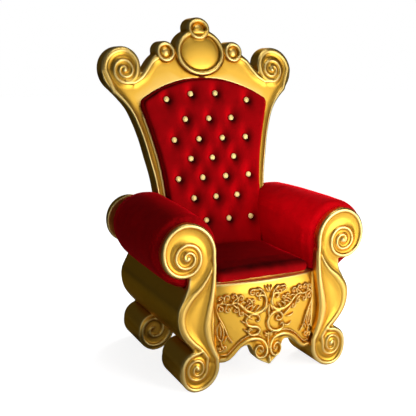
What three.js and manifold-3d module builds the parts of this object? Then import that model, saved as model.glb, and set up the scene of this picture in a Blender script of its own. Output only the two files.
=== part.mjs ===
// A scroll-footed throne with a reclined, tufted back, in millimetres.
// +Z is up, the seat faces -Y, and X is the axis across the arms.
// While it is drawn, y = 0 is the front of the arm scrolls and x = 0 is the middle of the seat.
import * as THREE from "three";
import { mergeVertices } from "three/addons/utils/BufferGeometryUtils.js";
import Module from "manifold-3d";

const wasm = await Module();
wasm.setup();

// ---- Driving sizes -------------------------------------------------------------------------

const GAP = 0.4; // between pieces that touch
const SLIVER = 0.2; // slivers narrower than this are merged away
const SEAT_Z = 492; // top of the seat board and of the side bodies
const BODY_INNER_X = 262; // inner wall of a side body
const BODY_REAR_Y = 780;
const REAR_PLATE_Y = 802;

// Scroll plate at the front of each arm: its channel floor, its back, and how proud its rims stand.
const PLATE_FRONT_Y = 16;
const PLATE_BACK_Y = 45;
const RIM_HEIGHT = 16;
const CARVING_SINK = 5; // how deep the foot of a carved scroll reaches into a curved surface

// Volutes are given by the radius at each quarter turn, from the seat side of the scroll.
const ARM_VOLUTE = { x: 410, z: 641, radii: [142, 157, 120, 91] };
const ARM_COIL = [74, 71, 66, 54, 42, 34, 24, 14];
const FOOT_VOLUTE = { x: 363, z: 116, radii: [112, 116, 83, 85] };
const FOOT_COIL = [56, 64, 56, 49, 35, 38, 27, 18];
const REAR_FOOT_COIL = [96, 96, 74, 68, 54, 44, 32, 18];
const FRONT_FOOT_Y = 240; // back of the front foot roll
const REAR_FOOT_Y = 555; // front of the rear foot roll
const FOOT_FLAT = 2.5; // depth of the worn flat that each foot stands on
const LOBE_TOP_Z = 205; // underside of the body between the feet

// Strap between the two volutes of a console: [outward x, z] down its seat side and its belly side.
const STRAP_SEAT_SIDE = [
  [266, 600],
  [268, 500],
  [281, 400],
  [291, 310],
  [283, 240],
  [262, 180],
];
const STRAP_BELLY_SIDE = [
  [398, 560],
  [403, 505],
  [430, 450],
  [453, 400],
  [456, 345],
  [443, 290],
  [415, 245],
  [384, 208],
];
// Rims on the strap: [outward x, half width, z].
const SEAT_RIM = [
  [264, 14, 150],
  [288, 17, 200],
  [305, 21, 250],
  [313, 23, 305],
  [304, 20, 375],
  [290, 15, 450],
  [281, 12, 530],
  [279, 12, 590],
];
const BELLY_RIM = [
  [303, 7, 560],
  [340, 13, 502],
  [395, 20, 450],
  [430, 21, 395],
  [435, 19, 340],
  [420, 17, 290],
  [385, 15, 243],
  [340, 12, 200],
  [312, 10, 160],
];

// Arm roll: one section at the front and one at the rear.
const ROLL_FRONT = { y: PLATE_BACK_Y + GAP, x: 401, z: 665, radius: 165, tipX: 424 };
const ROLL_REAR = { y: 775.5, x: 361, z: 657, radius: 149, tipX: 402 };
const ROLL_INNER_LOW_X = 250.5;
const ROLL_INNER_HIGH_X = 240;

// Reclined back: a plane that moves back as it rises.
const BACK_FRONT_Y = 640.3; // at z = 1000
const BACK_LEAN = 0.2227; // run for each unit of rise
const BACK_DEPTH = 95;
const FACE_SINK = 12; // how far the plain face lies behind the rims
const CORNER_VOLUTE = { x: 430, z: 1448, radii: [86, 118, 120, 126] };
// Outer edge of the back, from the seat up to the corner volute: [x, z].
const BACK_EDGE = [
  [290, 493],
  [303, 700],
  [311, 800],
  [322, 900],
  [337, 1000],
  [357, 1100],
  [390, 1200],
  [414, 1250],
  [455, 1300],
  [505, 1350],
];
// Top edge of the crest, from the corner volute in to the middle.
const CREST_EDGE = [
  [345, 1428],
  [318, 1456],
  [283, 1500],
  [245, 1530],
  [150, 1560],
  [0, 1600],
];
const SIDE_RIM = [
  [283, 6, 494],
  [296, 6, 700],
  [304, 6, 800],
  [315, 7, 900],
  [330, 7, 1000],
  [350, 7, 1100],
  [382, 8, 1200],
  [406, 9, 1250],
  [444, 11, 1300],
  [492, 14, 1345],
];
// Crest rim: from beside the small ring, down the crest, under the corner volute and into it.
const CREST_RIM = [
  [238, 13, 1512],
  [272, 14, 1491],
  [303, 14, 1452],
  [335, 14, 1415],
  [380, 13, 1386],
];
const CORNER_COIL = [76, 66, 60, 54, 44, 36, 26, 15];
const CORNER_TURN = [120, 118, 86, 76];
const SMALL_RING = { x: 197, z: 1540, rx: 55, rz: 55, rim: 13, dome: 27 };
const MEDALLION = { x: 0, z: 1538, rx: 142, rz: 124, rim: 16, dome: 112 };
const TOP_RING = { x: 0, z: 1661, rx: 66, rz: 59, rim: 14, dome: 30 };

// Padded back: half outline from the middle of its arch down to the seat.
const PAD_EDGE = [
  [0, 1405],
  [120, 1393],
  [240, 1356],
  [322, 1314],
  [351, 1294],
  [356, 1272],
  [337, 1200],
  [310, 1100],
  [287, 1000],
  [273, 900],
  [265, 800],
  [256, 700],
  [249, 600],
  [248, 496],
];
const PAD_POCKET = 30; // depth of the pad behind the rims
const PAD_CROWN = 26.5; // rise of the pad in front of the rims
const PAD_SHOULDER = 28; // width of the rounded edge of the pad
const INNER_BAND = 9; // half width of the raised band around the pad

// Buttons: rows from the top, with the x of each button.
const BUTTON_RADIUS = 14.5;
const BUTTON_RISE = 11;
const BUTTON_ROWS = [
  { z: [1299, 1324, 1325, 1287], x: [-230, -92, 50, 234] },
  { z: [1196, 1196, 1196], x: [-135, 0, 131] },
  { z: [1093, 1093, 1093, 1093], x: [-207, -68, 69, 208] },
  { z: [994, 994, 994], x: [-124, 0, 126] },
  { z: [895, 895, 895, 895], x: [-204, -66, 68, 205] },
  { z: [793, 793, 793], x: [-127, 0, 125] },
  { z: [675, 675, 675, 675], x: [-201, -68, 64, 196] },
];

// Apron: a front panel that swells forward in the middle.
const APRON_HALF = BODY_INNER_X - GAP;
const APRON_EDGE_Y = 42;
const APRON_SWELL = 33;
const APRON_THICK = 26;
const APRON_TOP_Z = 490;
// Lower edge of the apron from the middle out: [x, z].
const APRON_HEM = [
  [0, 79],
  [28, 92],
  [58, 112],
  [76, 150],
  [92, 177],
  [115, 180],
  [145, 166],
  [180, 134],
  [210, 112],
  [249, 110],
];

// ---- Small geometry helpers ----------------------------------------------------------------

const lerp = THREE.MathUtils.lerp;
const backFrontY = (z) => BACK_FRONT_Y + BACK_LEAN * (z - 1000);

/** A manifold solid from any closed three.js geometry. */
function solidOf(geometry) {
  const bare = new THREE.BufferGeometry();
  bare.setAttribute("position", geometry.getAttribute("position"));
  bare.setIndex(geometry.index);
  const merged = mergeVertices(bare, 1e-3);
  const mesh = new wasm.Mesh({
    numProp: 3,
    vertProperties: merged.attributes.position.array,
    triVerts: new Uint32Array(merged.index.array),
  });
  return new wasm.Manifold(mesh);
}

/** A three.js geometry from a manifold solid. */
function geometryOf(solid) {
  const mesh = solid.getMesh();
  const geometry = new THREE.BufferGeometry();
  geometry.setAttribute("position", new THREE.BufferAttribute(mesh.vertProperties, 3));
  geometry.setIndex(new THREE.BufferAttribute(mesh.triVerts, 1));
  return geometry;
}

const union = (solids) => solids.reduce((sum, solid) => sum.add(solid));
const mirrored = (solid) => solid.mirror([1, 0, 0]);
const bothSides = (solid) => solid.add(mirrored(solid));

/** Smooth [x, z] points through the given ones. */
function smooth(points, count) {
  const curve = new THREE.CatmullRomCurve3(
    points.map(([x, z]) => new THREE.Vector3(x, 0, z)),
    false,
    "centripetal",
  );
  return curve.getSpacedPoints(count).map((p) => [p.x, p.z]);
}

/** A flat board: an [x, z] outline that runs from y = front to y = back. */
function board(outline, front, back) {
  const shape = new THREE.Shape(outline.map(([x, z]) => new THREE.Vector2(x, z)));
  const geometry = new THREE.ExtrudeGeometry(shape, {
    depth: back - front,
    bevelEnabled: false,
  });
  geometry.rotateX(Math.PI / 2);
  geometry.translate(0, back, 0);
  return solidOf(geometry);
}

/** A box between two corners. */
function box([x0, y0, z0], [x1, y1, z1]) {
  const geometry = new THREE.BoxGeometry(x1 - x0, y1 - y0, z1 - z0);
  geometry.translate((x0 + x1) / 2, (y0 + y1) / 2, (z0 + z1) / 2);
  return solidOf(geometry);
}

/** A closed skin over rings of points, all of one length, with a fan at each end. */
function skin(rings) {
  const size = rings[0].length;
  const middles = [rings[0], rings[rings.length - 1]].map((ring) =>
    ring.reduce((sum, p) => sum.add(p), new THREE.Vector3()).divideScalar(size),
  );
  const points = [...rings.flat(), ...middles];
  const first = points.length - 2;
  const last = points.length - 1;
  const faces = [];
  for (let i = 0; i < size; i++) {
    const j = (i + 1) % size;
    faces.push(first, j, i);
    const end = (rings.length - 1) * size;
    faces.push(last, end + i, end + j);
    for (let r = 0; r + 1 < rings.length; r++) {
      const a = r * size + i;
      const b = r * size + j;
      faces.push(a, b, b + size, a, b + size, a + size);
    }
  }
  return orient(points, faces);
}

/** A solid from points and faces, turned the right way out. */
function orient(points, faces) {
  const geometry = new THREE.BufferGeometry().setFromPoints(points);
  geometry.setIndex(faces);
  const solid = solidOf(geometry);
  if (solid.volume() > 0) return solid;
  geometry.setIndex(faces.slice().reverse());
  return solidOf(geometry);
}

// Sections across a rim: [share of the half width, share of the height].
const ROUNDED = [
  [-1, 0],
  [-0.5, 1],
  [0.5, 1],
  [1, 0],
];
const RIDGED = [
  [-1, 0],
  [0, 1],
  [1, 0],
];

/**
 * A raised rim along a path of [x, half width, z] points.
 * Its crest stands `height` in front of the surface, whose depth at x, z is surface(x, z).
 */
function rim(path, surface, { height = RIM_HEIGHT, section = ROUNDED, sink = 0, closed = false } = {}) {
  const centres = path.map(([x, width, z]) => new THREE.Vector3(x, width, z));
  const count = centres.length;
  const rings = centres.map((p, i) => {
    const before = centres[closed ? (i - 1 + count) % count : Math.max(i - 1, 0)];
    const after = centres[closed ? (i + 1) % count : Math.min(i + 1, count - 1)];
    const along = new THREE.Vector2(after.x - before.x, after.z - before.z).normalize();
    const rise = height * Math.min(1, p.y / 7);
    const y = surface(p.x, p.z);
    return section.map(([across, up]) => {
      const depth = up === 0 ? y + sink : y - up * rise;
      return new THREE.Vector3(p.x - along.y * across * p.y, depth, p.z + along.x * across * p.y);
    });
  });
  return closed ? loop(rings) : skin(rings);
}

/** Smooth [x, half width, z] points through the given ones. */
function smoothRim(path, count) {
  const curve = new THREE.CatmullRomCurve3(
    path.map(([x, width, z]) => new THREE.Vector3(x, width, z)),
    false,
    "centripetal",
  );
  return curve.getPoints(count).map((p) => [p.x, p.y, p.z]);
}

/** A closed skin over rings that come back to the first one. */
function loop(rings) {
  const size = rings[0].length;
  const faces = [];
  rings.forEach((_, r) => {
    const next = ((r + 1) % rings.length) * size;
    for (let i = 0; i < size; i++) {
      const j = (i + 1) % size;
      faces.push(r * size + i, r * size + j, next + j);
      faces.push(r * size + i, next + j, next + i);
    }
  });
  return orient(rings.flat(), faces);
}

/** A smooth radius between the quarter-turn radii of a volute. */
function radiusAt(radii, quarter) {
  const i = Math.min(Math.floor(quarter), radii.length - 1);
  const next = radii[Math.min(i + 1, radii.length - 1)];
  return lerp(radii[i], next, quarter - i);
}

/**
 * Points of a volute from its radius at each quarter turn.
 * `start` is the first angle in degrees and `turn` is 1 or -1 for the way it winds.
 * Each point is moved in by its own half width, so that the rim's outer side is on the radius.
 */
function volute({ x, z }, radii, { start, turn, widths, perQuarter = 2 }) {
  const points = [];
  const quarters = radii.length - 1;
  for (let k = 0; k <= quarters * perQuarter; k++) {
    const quarter = k / perQuarter;
    const angle = THREE.MathUtils.degToRad(start + turn * quarter * 90);
    const width = lerp(widths[0], widths[1], quarter / quarters);
    const radius = radiusAt(radii, quarter) - width;
    points.push([x + radius * Math.cos(angle), width, z + radius * Math.sin(angle)]);
  }
  return points;
}

/** The closed outline of a volute's first turn, from its seat side. */
function disc(centre, turn, steps = 20) {
  const closed = [...centre.radii, centre.radii[0]];
  const points = [];
  for (let k = 0; k < steps; k++) {
    const quarter = (4 * k) / steps;
    const angle = Math.PI + turn * quarter * (Math.PI / 2);
    const radius = radiusAt(closed, quarter);
    points.push([centre.x + radius * Math.cos(angle), centre.z + radius * Math.sin(angle)]);
  }
  return points;
}

/** A low dome that faces the front, oval in x and z. */
function dome({ x, z }, rx, rz, surfaceY, height, segments) {
  const rings = [
    [1, -CARVING_SINK],
    [0.92, height * 0.35],
    [0.55, height * 0.9],
  ].map(([share, up]) => {
    const ring = [];
    for (let k = 0; k < segments; k++) {
      const angle = (2 * Math.PI * k) / segments;
      ring.push(
        new THREE.Vector3(x + rx * share * Math.cos(angle), surfaceY - up, z + rz * share * Math.sin(angle)),
      );
    }
    return ring;
  });
  return skin(rings);
}

// ---- Side frame: console scroll, body and two foot rolls -----------------------------------

const flatFront = () => PLATE_FRONT_Y;

/** The strap of a console without its volutes. */
function strapOutline() {
  const down = smooth(STRAP_SEAT_SIDE, 8);
  const up = smooth(STRAP_BELLY_SIDE, 12).reverse();
  return [...down, [300, 120], [360, 120], ...up, [400, 620], [300, 640]];
}

/** A console outline as a board: the two volutes and the strap between them. */
function consoleBoard(front, back, steps) {
  return union([
    board(disc(ARM_VOLUTE, -1, steps), front, back),
    board(disc(FOOT_VOLUTE, 1, steps), front, back),
    board(strapOutline(), front, back),
  ]);
}

/** The long rim: over the foot, up the seat side of the strap and round the arm volute to its eye. */
function longRim() {
  const foot = volute(FOOT_VOLUTE, FOOT_VOLUTE.radii, { start: 180, turn: 1, widths: [12, 12], perQuarter: 3 });
  const arm = volute(ARM_VOLUTE, [...ARM_VOLUTE.radii, ARM_COIL[0]], {
    start: 180,
    turn: -1,
    widths: [13, 10],
    perQuarter: 3,
  });
  const coil = volute(ARM_VOLUTE, ARM_COIL, { start: 180, turn: -1, widths: [10, 5] });
  return [[336, 8, 197], ...foot.reverse().slice(0, -1), ...smoothRim(SEAT_RIM, 9), ...arm.slice(1), ...coil.slice(1)];
}

/** The belly rim: from under the arm volute, round the belly and into the eye of the foot. */
function bellyRim() {
  const coil = volute(FOOT_VOLUTE, FOOT_COIL, { start: 180, turn: 1, widths: [9, 5] });
  return [...smoothRim(BELLY_RIM, 12), ...coil];
}

/** The body between the arm and the feet: the belly carried straight back. */
function bodySection() {
  const belly = smooth(STRAP_BELLY_SIDE, 12).filter(([, z]) => z < SEAT_Z - 2);
  return [[BODY_INNER_X, SEAT_Z], [BODY_INNER_X, LOBE_TOP_Z], ...belly.reverse(), [409, SEAT_Z]];
}

/** The scroll on the front face of the rear foot. */
function rearFootScroll() {
  const path = volute(FOOT_VOLUTE, REAR_FOOT_COIL, { start: 180, turn: 1, widths: [9, 6] });
  return rim(path, () => REAR_FOOT_Y, { height: 9, section: RIDGED });
}

function sideFrame() {
  const flatZ = FOOT_VOLUTE.z - FOOT_VOLUTE.radii[1] + FOOT_FLAT;
  const foot = disc(FOOT_VOLUTE, 1, 20);
  const whole = union([
    consoleBoard(PLATE_FRONT_Y, PLATE_BACK_Y, 24),
    board(bodySection(), PLATE_BACK_Y - 5, BODY_REAR_Y),
    board(foot, PLATE_FRONT_Y, FRONT_FOOT_Y),
    board(foot, REAR_FOOT_Y, BODY_REAR_Y),
    consoleBoard(BODY_REAR_Y - 4, REAR_PLATE_Y, 20),
    rim(longRim(), flatFront),
    rim(bellyRim(), flatFront, { height: 14 }),
    dome(ARM_VOLUTE, 17, 17, PLATE_FRONT_Y, 15, 6),
    dome(FOOT_VOLUTE, 13, 13, PLATE_FRONT_Y, 13, 6),
    rearFootScroll(),
  ]);
  return whole.trimByPlane([0, 0, 1], flatZ);
}

// ---- Apron, rear rail and seat board -------------------------------------------------------

/** Depth of the apron's plain surface. */
function apronY(x, z) {
  const across = Math.cos((Math.PI / 2) * Math.min(1, Math.abs(x) / APRON_HALF));
  const up = THREE.MathUtils.clamp((APRON_TOP_Z - z) / 60, 0, 1);
  const rollBack = 16 * (1 - up) ** 2;
  const hang = z < 200 ? ((200 - z) / 120) * 24 * Math.max(0, 1 - Math.abs(x) / 100) : 0;
  return APRON_EDGE_Y - APRON_SWELL * across ** 0.8 + rollBack - hang;
}

/** The apron panel as a sheet of columns that follow its hem. */
function apronPanel() {
  const hem = smooth(APRON_HEM, 10);
  const half = [...hem, [APRON_HALF, LOBE_TOP_Z + 4]];
  const columns = [...half.slice(1).reverse().map(([x, z]) => [-x, z]), ...half];
  const levels = [0, 0.35, 0.86, 0.94, 1];
  const front = columns.map(([x, hemZ]) =>
    levels.map((share) => {
      const z = lerp(hemZ, APRON_TOP_Z, share);
      return new THREE.Vector3(x, apronY(x, z), z);
    }),
  );
  const backY = APRON_EDGE_Y + APRON_THICK;
  const rings = front.map((column) => {
    const top = column[column.length - 1].clone().setY(backY);
    return [...column, top, column[0].clone().setY(backY)];
  });
  return skin(rings);
}

/** Carved scrolls of one half of the apron: [distance from the middle, half width, z]. */
const HEM_BAND = [
  [247, 6, 186],
  [232, 8, 162],
  [205, 9, 160],
  [150, 9, 196],
  [112, 9, 222],
  [85, 8, 232],
  [52, 8, 224],
  [22, 8, 196],
  [11, 7, 160],
  [24, 6, 131],
  [48, 6, 124],
  [72, 6, 146],
  [64, 6, 176],
  [42, 5, 178],
  [34, 5, 158],
  [48, 4, 152],
];
const UPPER_SCROLL = [
  [146, 4, 384],
  [120, 7, 360],
  [85, 8, 344],
  [45, 8, 346],
  [20, 7, 374],
  [24, 6, 406],
  [46, 5, 420],
  [60, 5, 404],
  [46, 4, 392],
];
const RIGHT_LOWER_SCROLL = [
  [74, 5, 262],
  [44, 8, 240],
  [10, 8, 262],
  [0, 7, 300],
  [22, 7, 332],
  [56, 6, 332],
  [74, 5, 308],
  [54, 4, 294],
];
const LEFT_LOWER_SCROLL = [
  [-46, 4, 302],
  [-52, 5, 324],
  [-84, 6, 334],
  [-118, 7, 312],
  [-108, 7, 282],
  [-72, 7, 274],
  [-52, 6, 258],
  [-74, 5, 240],
  [-104, 4, 250],
];
const SIDE_STEM = [
  [252, 4, 404],
  [262, 5, 376],
  [252, 6, 334],
  [230, 6, 296],
  [212, 5, 250],
  [196, 3, 212],
];
const SIDE_LEAF = [
  [240, 3, 312],
  [226, 8, 262],
  [238, 7, 216],
  [254, 5, 240],
  [252, 3, 290],
];
const FESTOON = [
  [14, 4, 452],
  [44, 7, 446],
  [62, 5, 424],
  [92, 6, 404],
  [130, 7, 398],
  [170, 7, 392],
  [210, 7, 398],
  [246, 4, 402],
];
// Curled leaves that stand up or hang down from the festoon: [x, z, size, up or down].
const FESTOON_LEAVES = [
  [142, 416, 28, 1],
  [204, 419, 28, 1],
  [156, 370, 26, -1],
];

/** A curled leaf as a short hooked bead. */
function leafPath([x, z, size, way]) {
  return [
    [x - size * 0.5, 3, z - way * size * 0.6],
    [x - size * 0.35, 6, z + way * size * 0.25],
    [x + size * 0.15, 6, z + way * size * 0.55],
    [x + size * 0.4, 4, z + way * size * 0.15],
  ];
}

function apron(side) {
  const cut = { height: 11, section: RIDGED, sink: CARVING_SINK };
  const carved = (path, count) => rim(smoothRim(path, count), apronY, cut);
  const half = union([
    carved(HEM_BAND, 17),
    carved(UPPER_SCROLL, 9),
    carved(SIDE_STEM, 5),
    carved(SIDE_LEAF, 5),
    carved(FESTOON, 7),
    ...FESTOON_LEAVES.map((leaf) => carved(leafPath(leaf), 3)),
  ]);
  const shell = { x: 0, z: 333 };
  const crown = { x: 0, z: 432 };
  const whole = union([
    apronPanel(),
    bothSides(half),
    carved(RIGHT_LOWER_SCROLL, 9),
    carved(LEFT_LOWER_SCROLL, 9),
    dome(shell, 15, 26, apronY(0, shell.z), 11, 6),
    dome(crown, 14, 22, apronY(0, crown.z), 11, 6),
  ]);
  const console = side.trimByPlane([0, -1, 0], -FRONT_FOOT_Y);
  const clearance = console.add(console.translate([-2 * GAP, 0, 0]));
  return whole.subtract(bothSides(clearance));
}

function seatBoard() {
  const x = BODY_INNER_X - GAP;
  const front = APRON_EDGE_Y + APRON_THICK + GAP;
  return box([-x, front, SEAT_Z - 30], [x, BODY_REAR_Y, SEAT_Z]);
}

function rearRail() {
  const x = BODY_INNER_X - GAP;
  return box([-x, BODY_REAR_Y - 30, LOBE_TOP_Z], [x, BODY_REAR_Y, SEAT_Z - 30 - GAP]);
}

// ---- Soft parts ----------------------------------------------------------------------------

/** One section of an arm roll, drawn in by `inset`. */
function rollSection(share, inset) {
  const y = lerp(ROLL_FRONT.y, ROLL_REAR.y, share);
  const x = lerp(ROLL_FRONT.x, ROLL_REAR.x, share);
  const z = lerp(ROLL_FRONT.z, ROLL_REAR.z, share);
  const radius = lerp(ROLL_FRONT.radius, ROLL_REAR.radius, share) - inset;
  const tipX = lerp(ROLL_FRONT.tipX, ROLL_REAR.tipX, share) - inset;
  const high = ROLL_INNER_HIGH_X + inset;
  const low = ROLL_INNER_LOW_X + inset;
  const floor = SEAT_Z + GAP;
  const start = Math.PI - Math.acos(Math.min(1, (x - high) / radius));
  const end = -0.95;
  const arc = [];
  for (let k = 0; k <= 12; k++) {
    const angle = lerp(start, end, k / 12);
    arc.push([x + radius * Math.cos(angle), z + radius * Math.sin(angle)]);
  }
  const outline = [[low, floor], [low, 568], [high, 620], ...arc, [tipX + 22, 514], [tipX, floor]];
  return outline.map(([px, pz]) => new THREE.Vector3(px, y, pz));
}

function armRoll() {
  const length = ROLL_REAR.y - ROLL_FRONT.y;
  const stations = [
    [0, 22],
    [8, 9],
    [22, 2],
    [45, 0],
    [length / 2, 0],
    [length - 40, 0],
    [length - 12, 5],
    [length, 18],
  ];
  const roll = skin(stations.map(([along, inset]) => rollSection(along / length, inset)));
  return roll.subtract(backClearance());
}

/** The room that the back and its pad take between the arm rolls. */
function backClearance() {
  const z0 = 400;
  const z1 = 900;
  const rings = [z0, z1].map((z) => {
    const front = backFrontY(z);
    const edge = 1.5 + (z < SEAT_Z ? 290 : 322);
    return [
      [-271, front - PAD_CROWN - 1],
      [271, front - PAD_CROWN - 1],
      [271, front - 1],
      [edge, front - 1],
      [edge, front + BACK_DEPTH + 1],
      [-edge, front + BACK_DEPTH + 1],
      [-edge, front - 1],
      [-271, front - 1],
    ].map(([x, y]) => new THREE.Vector3(x, y, z));
  });
  return skin(rings);
}

/** Seat cushion: a rolled front edge and a low crown, carried across the seat. */
function seatCushion() {
  const half = ROLL_INNER_LOW_X - 0.8;
  const floor = SEAT_Z + GAP;
  const rear = backFrontY(floor) - PAD_CROWN - 2.5;
  const profile = [
    [52, floor],
    [36, 508],
    [33, 522],
    [42, 537],
    [66, 546],
    [180, 553],
    [330, 554],
    [440, 550],
    [rear, 545],
    [rear, floor],
  ];
  const across = [
    [-half, 8],
    [-half + 14, 0],
    [half - 14, 0],
    [half, 8],
  ];
  const middleZ = 520;
  return skin(
    across.map(([x, drop]) =>
      profile.map(([y, z]) => {
        const front = y < 60 ? y + drop * 0.6 : y;
        return new THREE.Vector3(x, front, z > middleZ ? z - drop : z);
      }),
    ),
  );
}

// ---- Back: frame, pad and buttons ----------------------------------------------------------

/** Slides a solid drawn upright on y = 0 back along the recline. */
function recline(solid) {
  return solid.warp((v) => {
    v[1] += backFrontY(v[2]);
  });
}

/** Half outline of the padded back, moved out by `grow`. */
function padOutline(grow, steps = 30) {
  const half = smooth(PAD_EDGE, steps);
  const moved = half.map(([x, z], i) => {
    const [ax, az] = half[Math.max(i - 1, 0)];
    const [bx, bz] = half[Math.min(i + 1, steps)];
    const length = Math.hypot(bx - ax, bz - az);
    const nx = -(bz - az) / length;
    const nz = (bx - ax) / length;
    return [i === 0 ? 0 : x + nx * grow, i === steps ? z : z + nz * grow];
  });
  return [...moved, ...moved.slice(1).reverse().map(([x, z]) => [-x, z])];
}

function backPad() {
  const layers = [
    [PAD_POCKET - GAP, -0.8],
    [-6, -0.8],
    [-16, -4],
    [-22, -10],
    [-PAD_CROWN, -PAD_SHOULDER],
  ];
  const rings = layers.map(([y, grow]) => padOutline(grow, 18).map(([x, z]) => new THREE.Vector3(x, y, z)));
  const slab = skinFlat(rings);
  return recline(slab);
}

/** A skin whose two ends are filled as flat outlines instead of fans. */
function skinFlat(rings) {
  const size = rings[0].length;
  const faces = [];
  for (let i = 0; i < size; i++) {
    const j = (i + 1) % size;
    for (let r = 0; r + 1 < rings.length; r++) {
      const a = r * size + i;
      const b = r * size + j;
      faces.push(a, b, b + size, a, b + size, a + size);
    }
  }
  const ends = [
    [0, true],
    [rings.length - 1, false],
  ];
  for (const [r, flip] of ends) {
    const flat = rings[r].map((p) => new THREE.Vector2(p.x, p.z));
    for (const [a, b, c] of THREE.ShapeUtils.triangulateShape(flat, [])) {
      const tri = [r * size + a, r * size + b, r * size + c];
      const clockwise = THREE.ShapeUtils.isClockWise(flat);
      faces.push(...(flip !== clockwise ? tri.reverse() : tri));
    }
  }
  return orient(rings.flat(), faces);
}

/** Half outline of the back panel without its volutes and rings. */
function panelOutline() {
  const edge = smooth(BACK_EDGE, 10);
  const crest = smooth(CREST_EDGE, 7);
  const right = [...edge, [430, 1400], ...crest];
  return [...right, ...right.slice(0, -1).reverse().map(([x, z]) => [-x, z])];
}

function oval({ x, z, rx, rz }, steps) {
  const points = [];
  for (let k = 0; k < steps; k++) {
    const angle = (2 * Math.PI * k) / steps;
    points.push([x + rx * Math.cos(angle), z + rz * Math.sin(angle)]);
  }
  return points;
}

/** A ring with a domed middle, standing on its own disc. */
function ringOf(ring, steps, stand = 0) {
  const surface = () => FACE_SINK - stand;
  const path = oval({ ...ring, rx: ring.rx - ring.rim, rz: ring.rz - ring.rim }, steps).map(([x, z]) => [
    x,
    ring.rim,
    z,
  ]);
  const domeZ = ring.rz * (ring.dome / ring.rx);
  return union([
    board(oval(ring, steps), surface(), BACK_DEPTH),
    rim(path, surface, { height: FACE_SINK + 6, closed: true }),
    dome(ring, ring.dome, domeZ, surface(), 12, steps > 16 ? 12 : 8),
  ]);
}

/** A corner volute: the side rim goes round its outside, the crest rim winds into its eye. */
function cornerVolute() {
  const surface = () => FACE_SINK;
  const around = volute(CORNER_VOLUTE, CORNER_TURN, { start: 0, turn: 1, widths: [18, 15], perQuarter: 3 });
  const coil = volute(CORNER_VOLUTE, CORNER_COIL, { start: 270, turn: 1, widths: [11, 6] });
  return union([
    board(disc(CORNER_VOLUTE, -1, 20), FACE_SINK, BACK_DEPTH),
    rim([...smoothRim(SIDE_RIM, 10), ...around], surface, { height: FACE_SINK }),
    rim([...smoothRim(CREST_RIM, 6), ...coil], surface, { height: FACE_SINK }),
    dome(CORNER_VOLUTE, 16, 16, FACE_SINK, 12, 6),
  ]);
}

/** The raised band that frames the pad. */
function innerBand() {
  const half = padOutline(INNER_BAND, 15)
    .slice(0, 16)
    .filter(([, z]) => z > 520)
    .map(([x, z]) => [x, INNER_BAND, z]);
  const other = half.slice(1).reverse().map(([x, width, z]) => [-x, width, z]);
  return rim([...other, ...half], () => FACE_SINK, { height: 9 });
}

function backFrame() {
  const whole = union([
    board(panelOutline(), FACE_SINK, BACK_DEPTH),
    bothSides(cornerVolute()),
    innerBand(),
    bothSides(ringOf(SMALL_RING, 12)),
    ringOf(MEDALLION, 20, 4),
    ringOf(TOP_RING, 12, 7),
  ]);
  const pocket = board(padOutline(0, 18), -20, PAD_POCKET).add(
    board(
      [
        [-248.8, 400],
        [248.8, 400],
        [248.8, 500],
        [-248.8, 500],
      ],
      -20,
      PAD_POCKET,
    ),
  );
  const trimmed = whole.subtract(pocket).trimByPlane([0, 0, 1], SEAT_Z + GAP);
  return recline(trimmed);
}

/** A domed button, its flat back on the crown of the pad. */
function button(x, z) {
  const profile = [
    [0, 0],
    [BUTTON_RADIUS, 0],
    [BUTTON_RADIUS * 0.86, BUTTON_RISE * 0.6],
    [0, BUTTON_RISE],
  ].map(([radius, height]) => new THREE.Vector2(radius, height));
  const geometry = new THREE.LatheGeometry(profile, 6);
  const normal = new THREE.Vector3(0, -1, BACK_LEAN).normalize();
  geometry.applyQuaternion(new THREE.Quaternion().setFromUnitVectors(new THREE.Vector3(0, 1, 0), normal));
  const seat = new THREE.Vector3(x, backFrontY(z) - PAD_CROWN, z).addScaledVector(normal, GAP);
  geometry.translate(seat.x, seat.y, seat.z);
  return solidOf(geometry);
}

// ---- The throne ----------------------------------------------------------------------------

const finishes = {
  gold: { color: 0xd9a63a, metalness: 0.9, roughness: 0.3 },
  red_velvet: { color: 0x8c0812, metalness: 0, roughness: 0.85 },
  button_gold: { color: 0xf2d778, metalness: 0.6, roughness: 0.4 },
};

function addPiece(throne, name, finish, solid) {
  const material = new THREE.MeshStandardMaterial({ ...finishes[finish], flatShading: true });
  material.name = finish;
  const mesh = new THREE.Mesh(geometryOf(solid.simplify(SLIVER)), material);
  mesh.name = name;
  throne.add(mesh);
}

function buildThrone() {
  const throne = new THREE.Group();
  throne.name = "throne";
  const side = sideFrame();
  const roll = armRoll();
  addPiece(throne, "side_frame_right", "gold", side);
  addPiece(throne, "side_frame_left", "gold", mirrored(side));
  addPiece(throne, "apron", "gold", apron(side));
  addPiece(throne, "rear_rail", "gold", rearRail());
  addPiece(throne, "seat_board", "gold", seatBoard());
  addPiece(throne, "back_frame", "gold", backFrame());
  addPiece(throne, "arm_roll_right", "red_velvet", roll);
  addPiece(throne, "arm_roll_left", "red_velvet", mirrored(roll));
  addPiece(throne, "seat_cushion", "red_velvet", seatCushion());
  addPiece(throne, "back_pad", "red_velvet", backPad());
  let number = 0;
  for (const row of BUTTON_ROWS) {
    row.x.forEach((x, i) => {
      number += 1;
      addPiece(throne, `button_${String(number).padStart(2, "0")}`, "button_gold", button(x, row.z[i]));
    });
  }
  return centred(throne);
}

/** Stands the throne on z = 0 with the middle of its box over the origin. */
function centred(throne) {
  const bounds = new THREE.Box3().setFromObject(throne, true);
  const middle = bounds.getCenter(new THREE.Vector3());
  for (const mesh of throne.children) {
    mesh.geometry.translate(-middle.x, -middle.y, -bounds.min.z);
  }
  return throne;
}

export default buildThrone();
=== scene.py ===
"""Dresses a scroll-footed throne: gilded carving, tufted velvet back, velvet arm rolls and seat."""

import logging
import math
from collections.abc import Callable, Iterator, Sequence
from contextlib import contextmanager
from dataclasses import dataclass, field
from enum import Enum
from functools import cached_property

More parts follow.
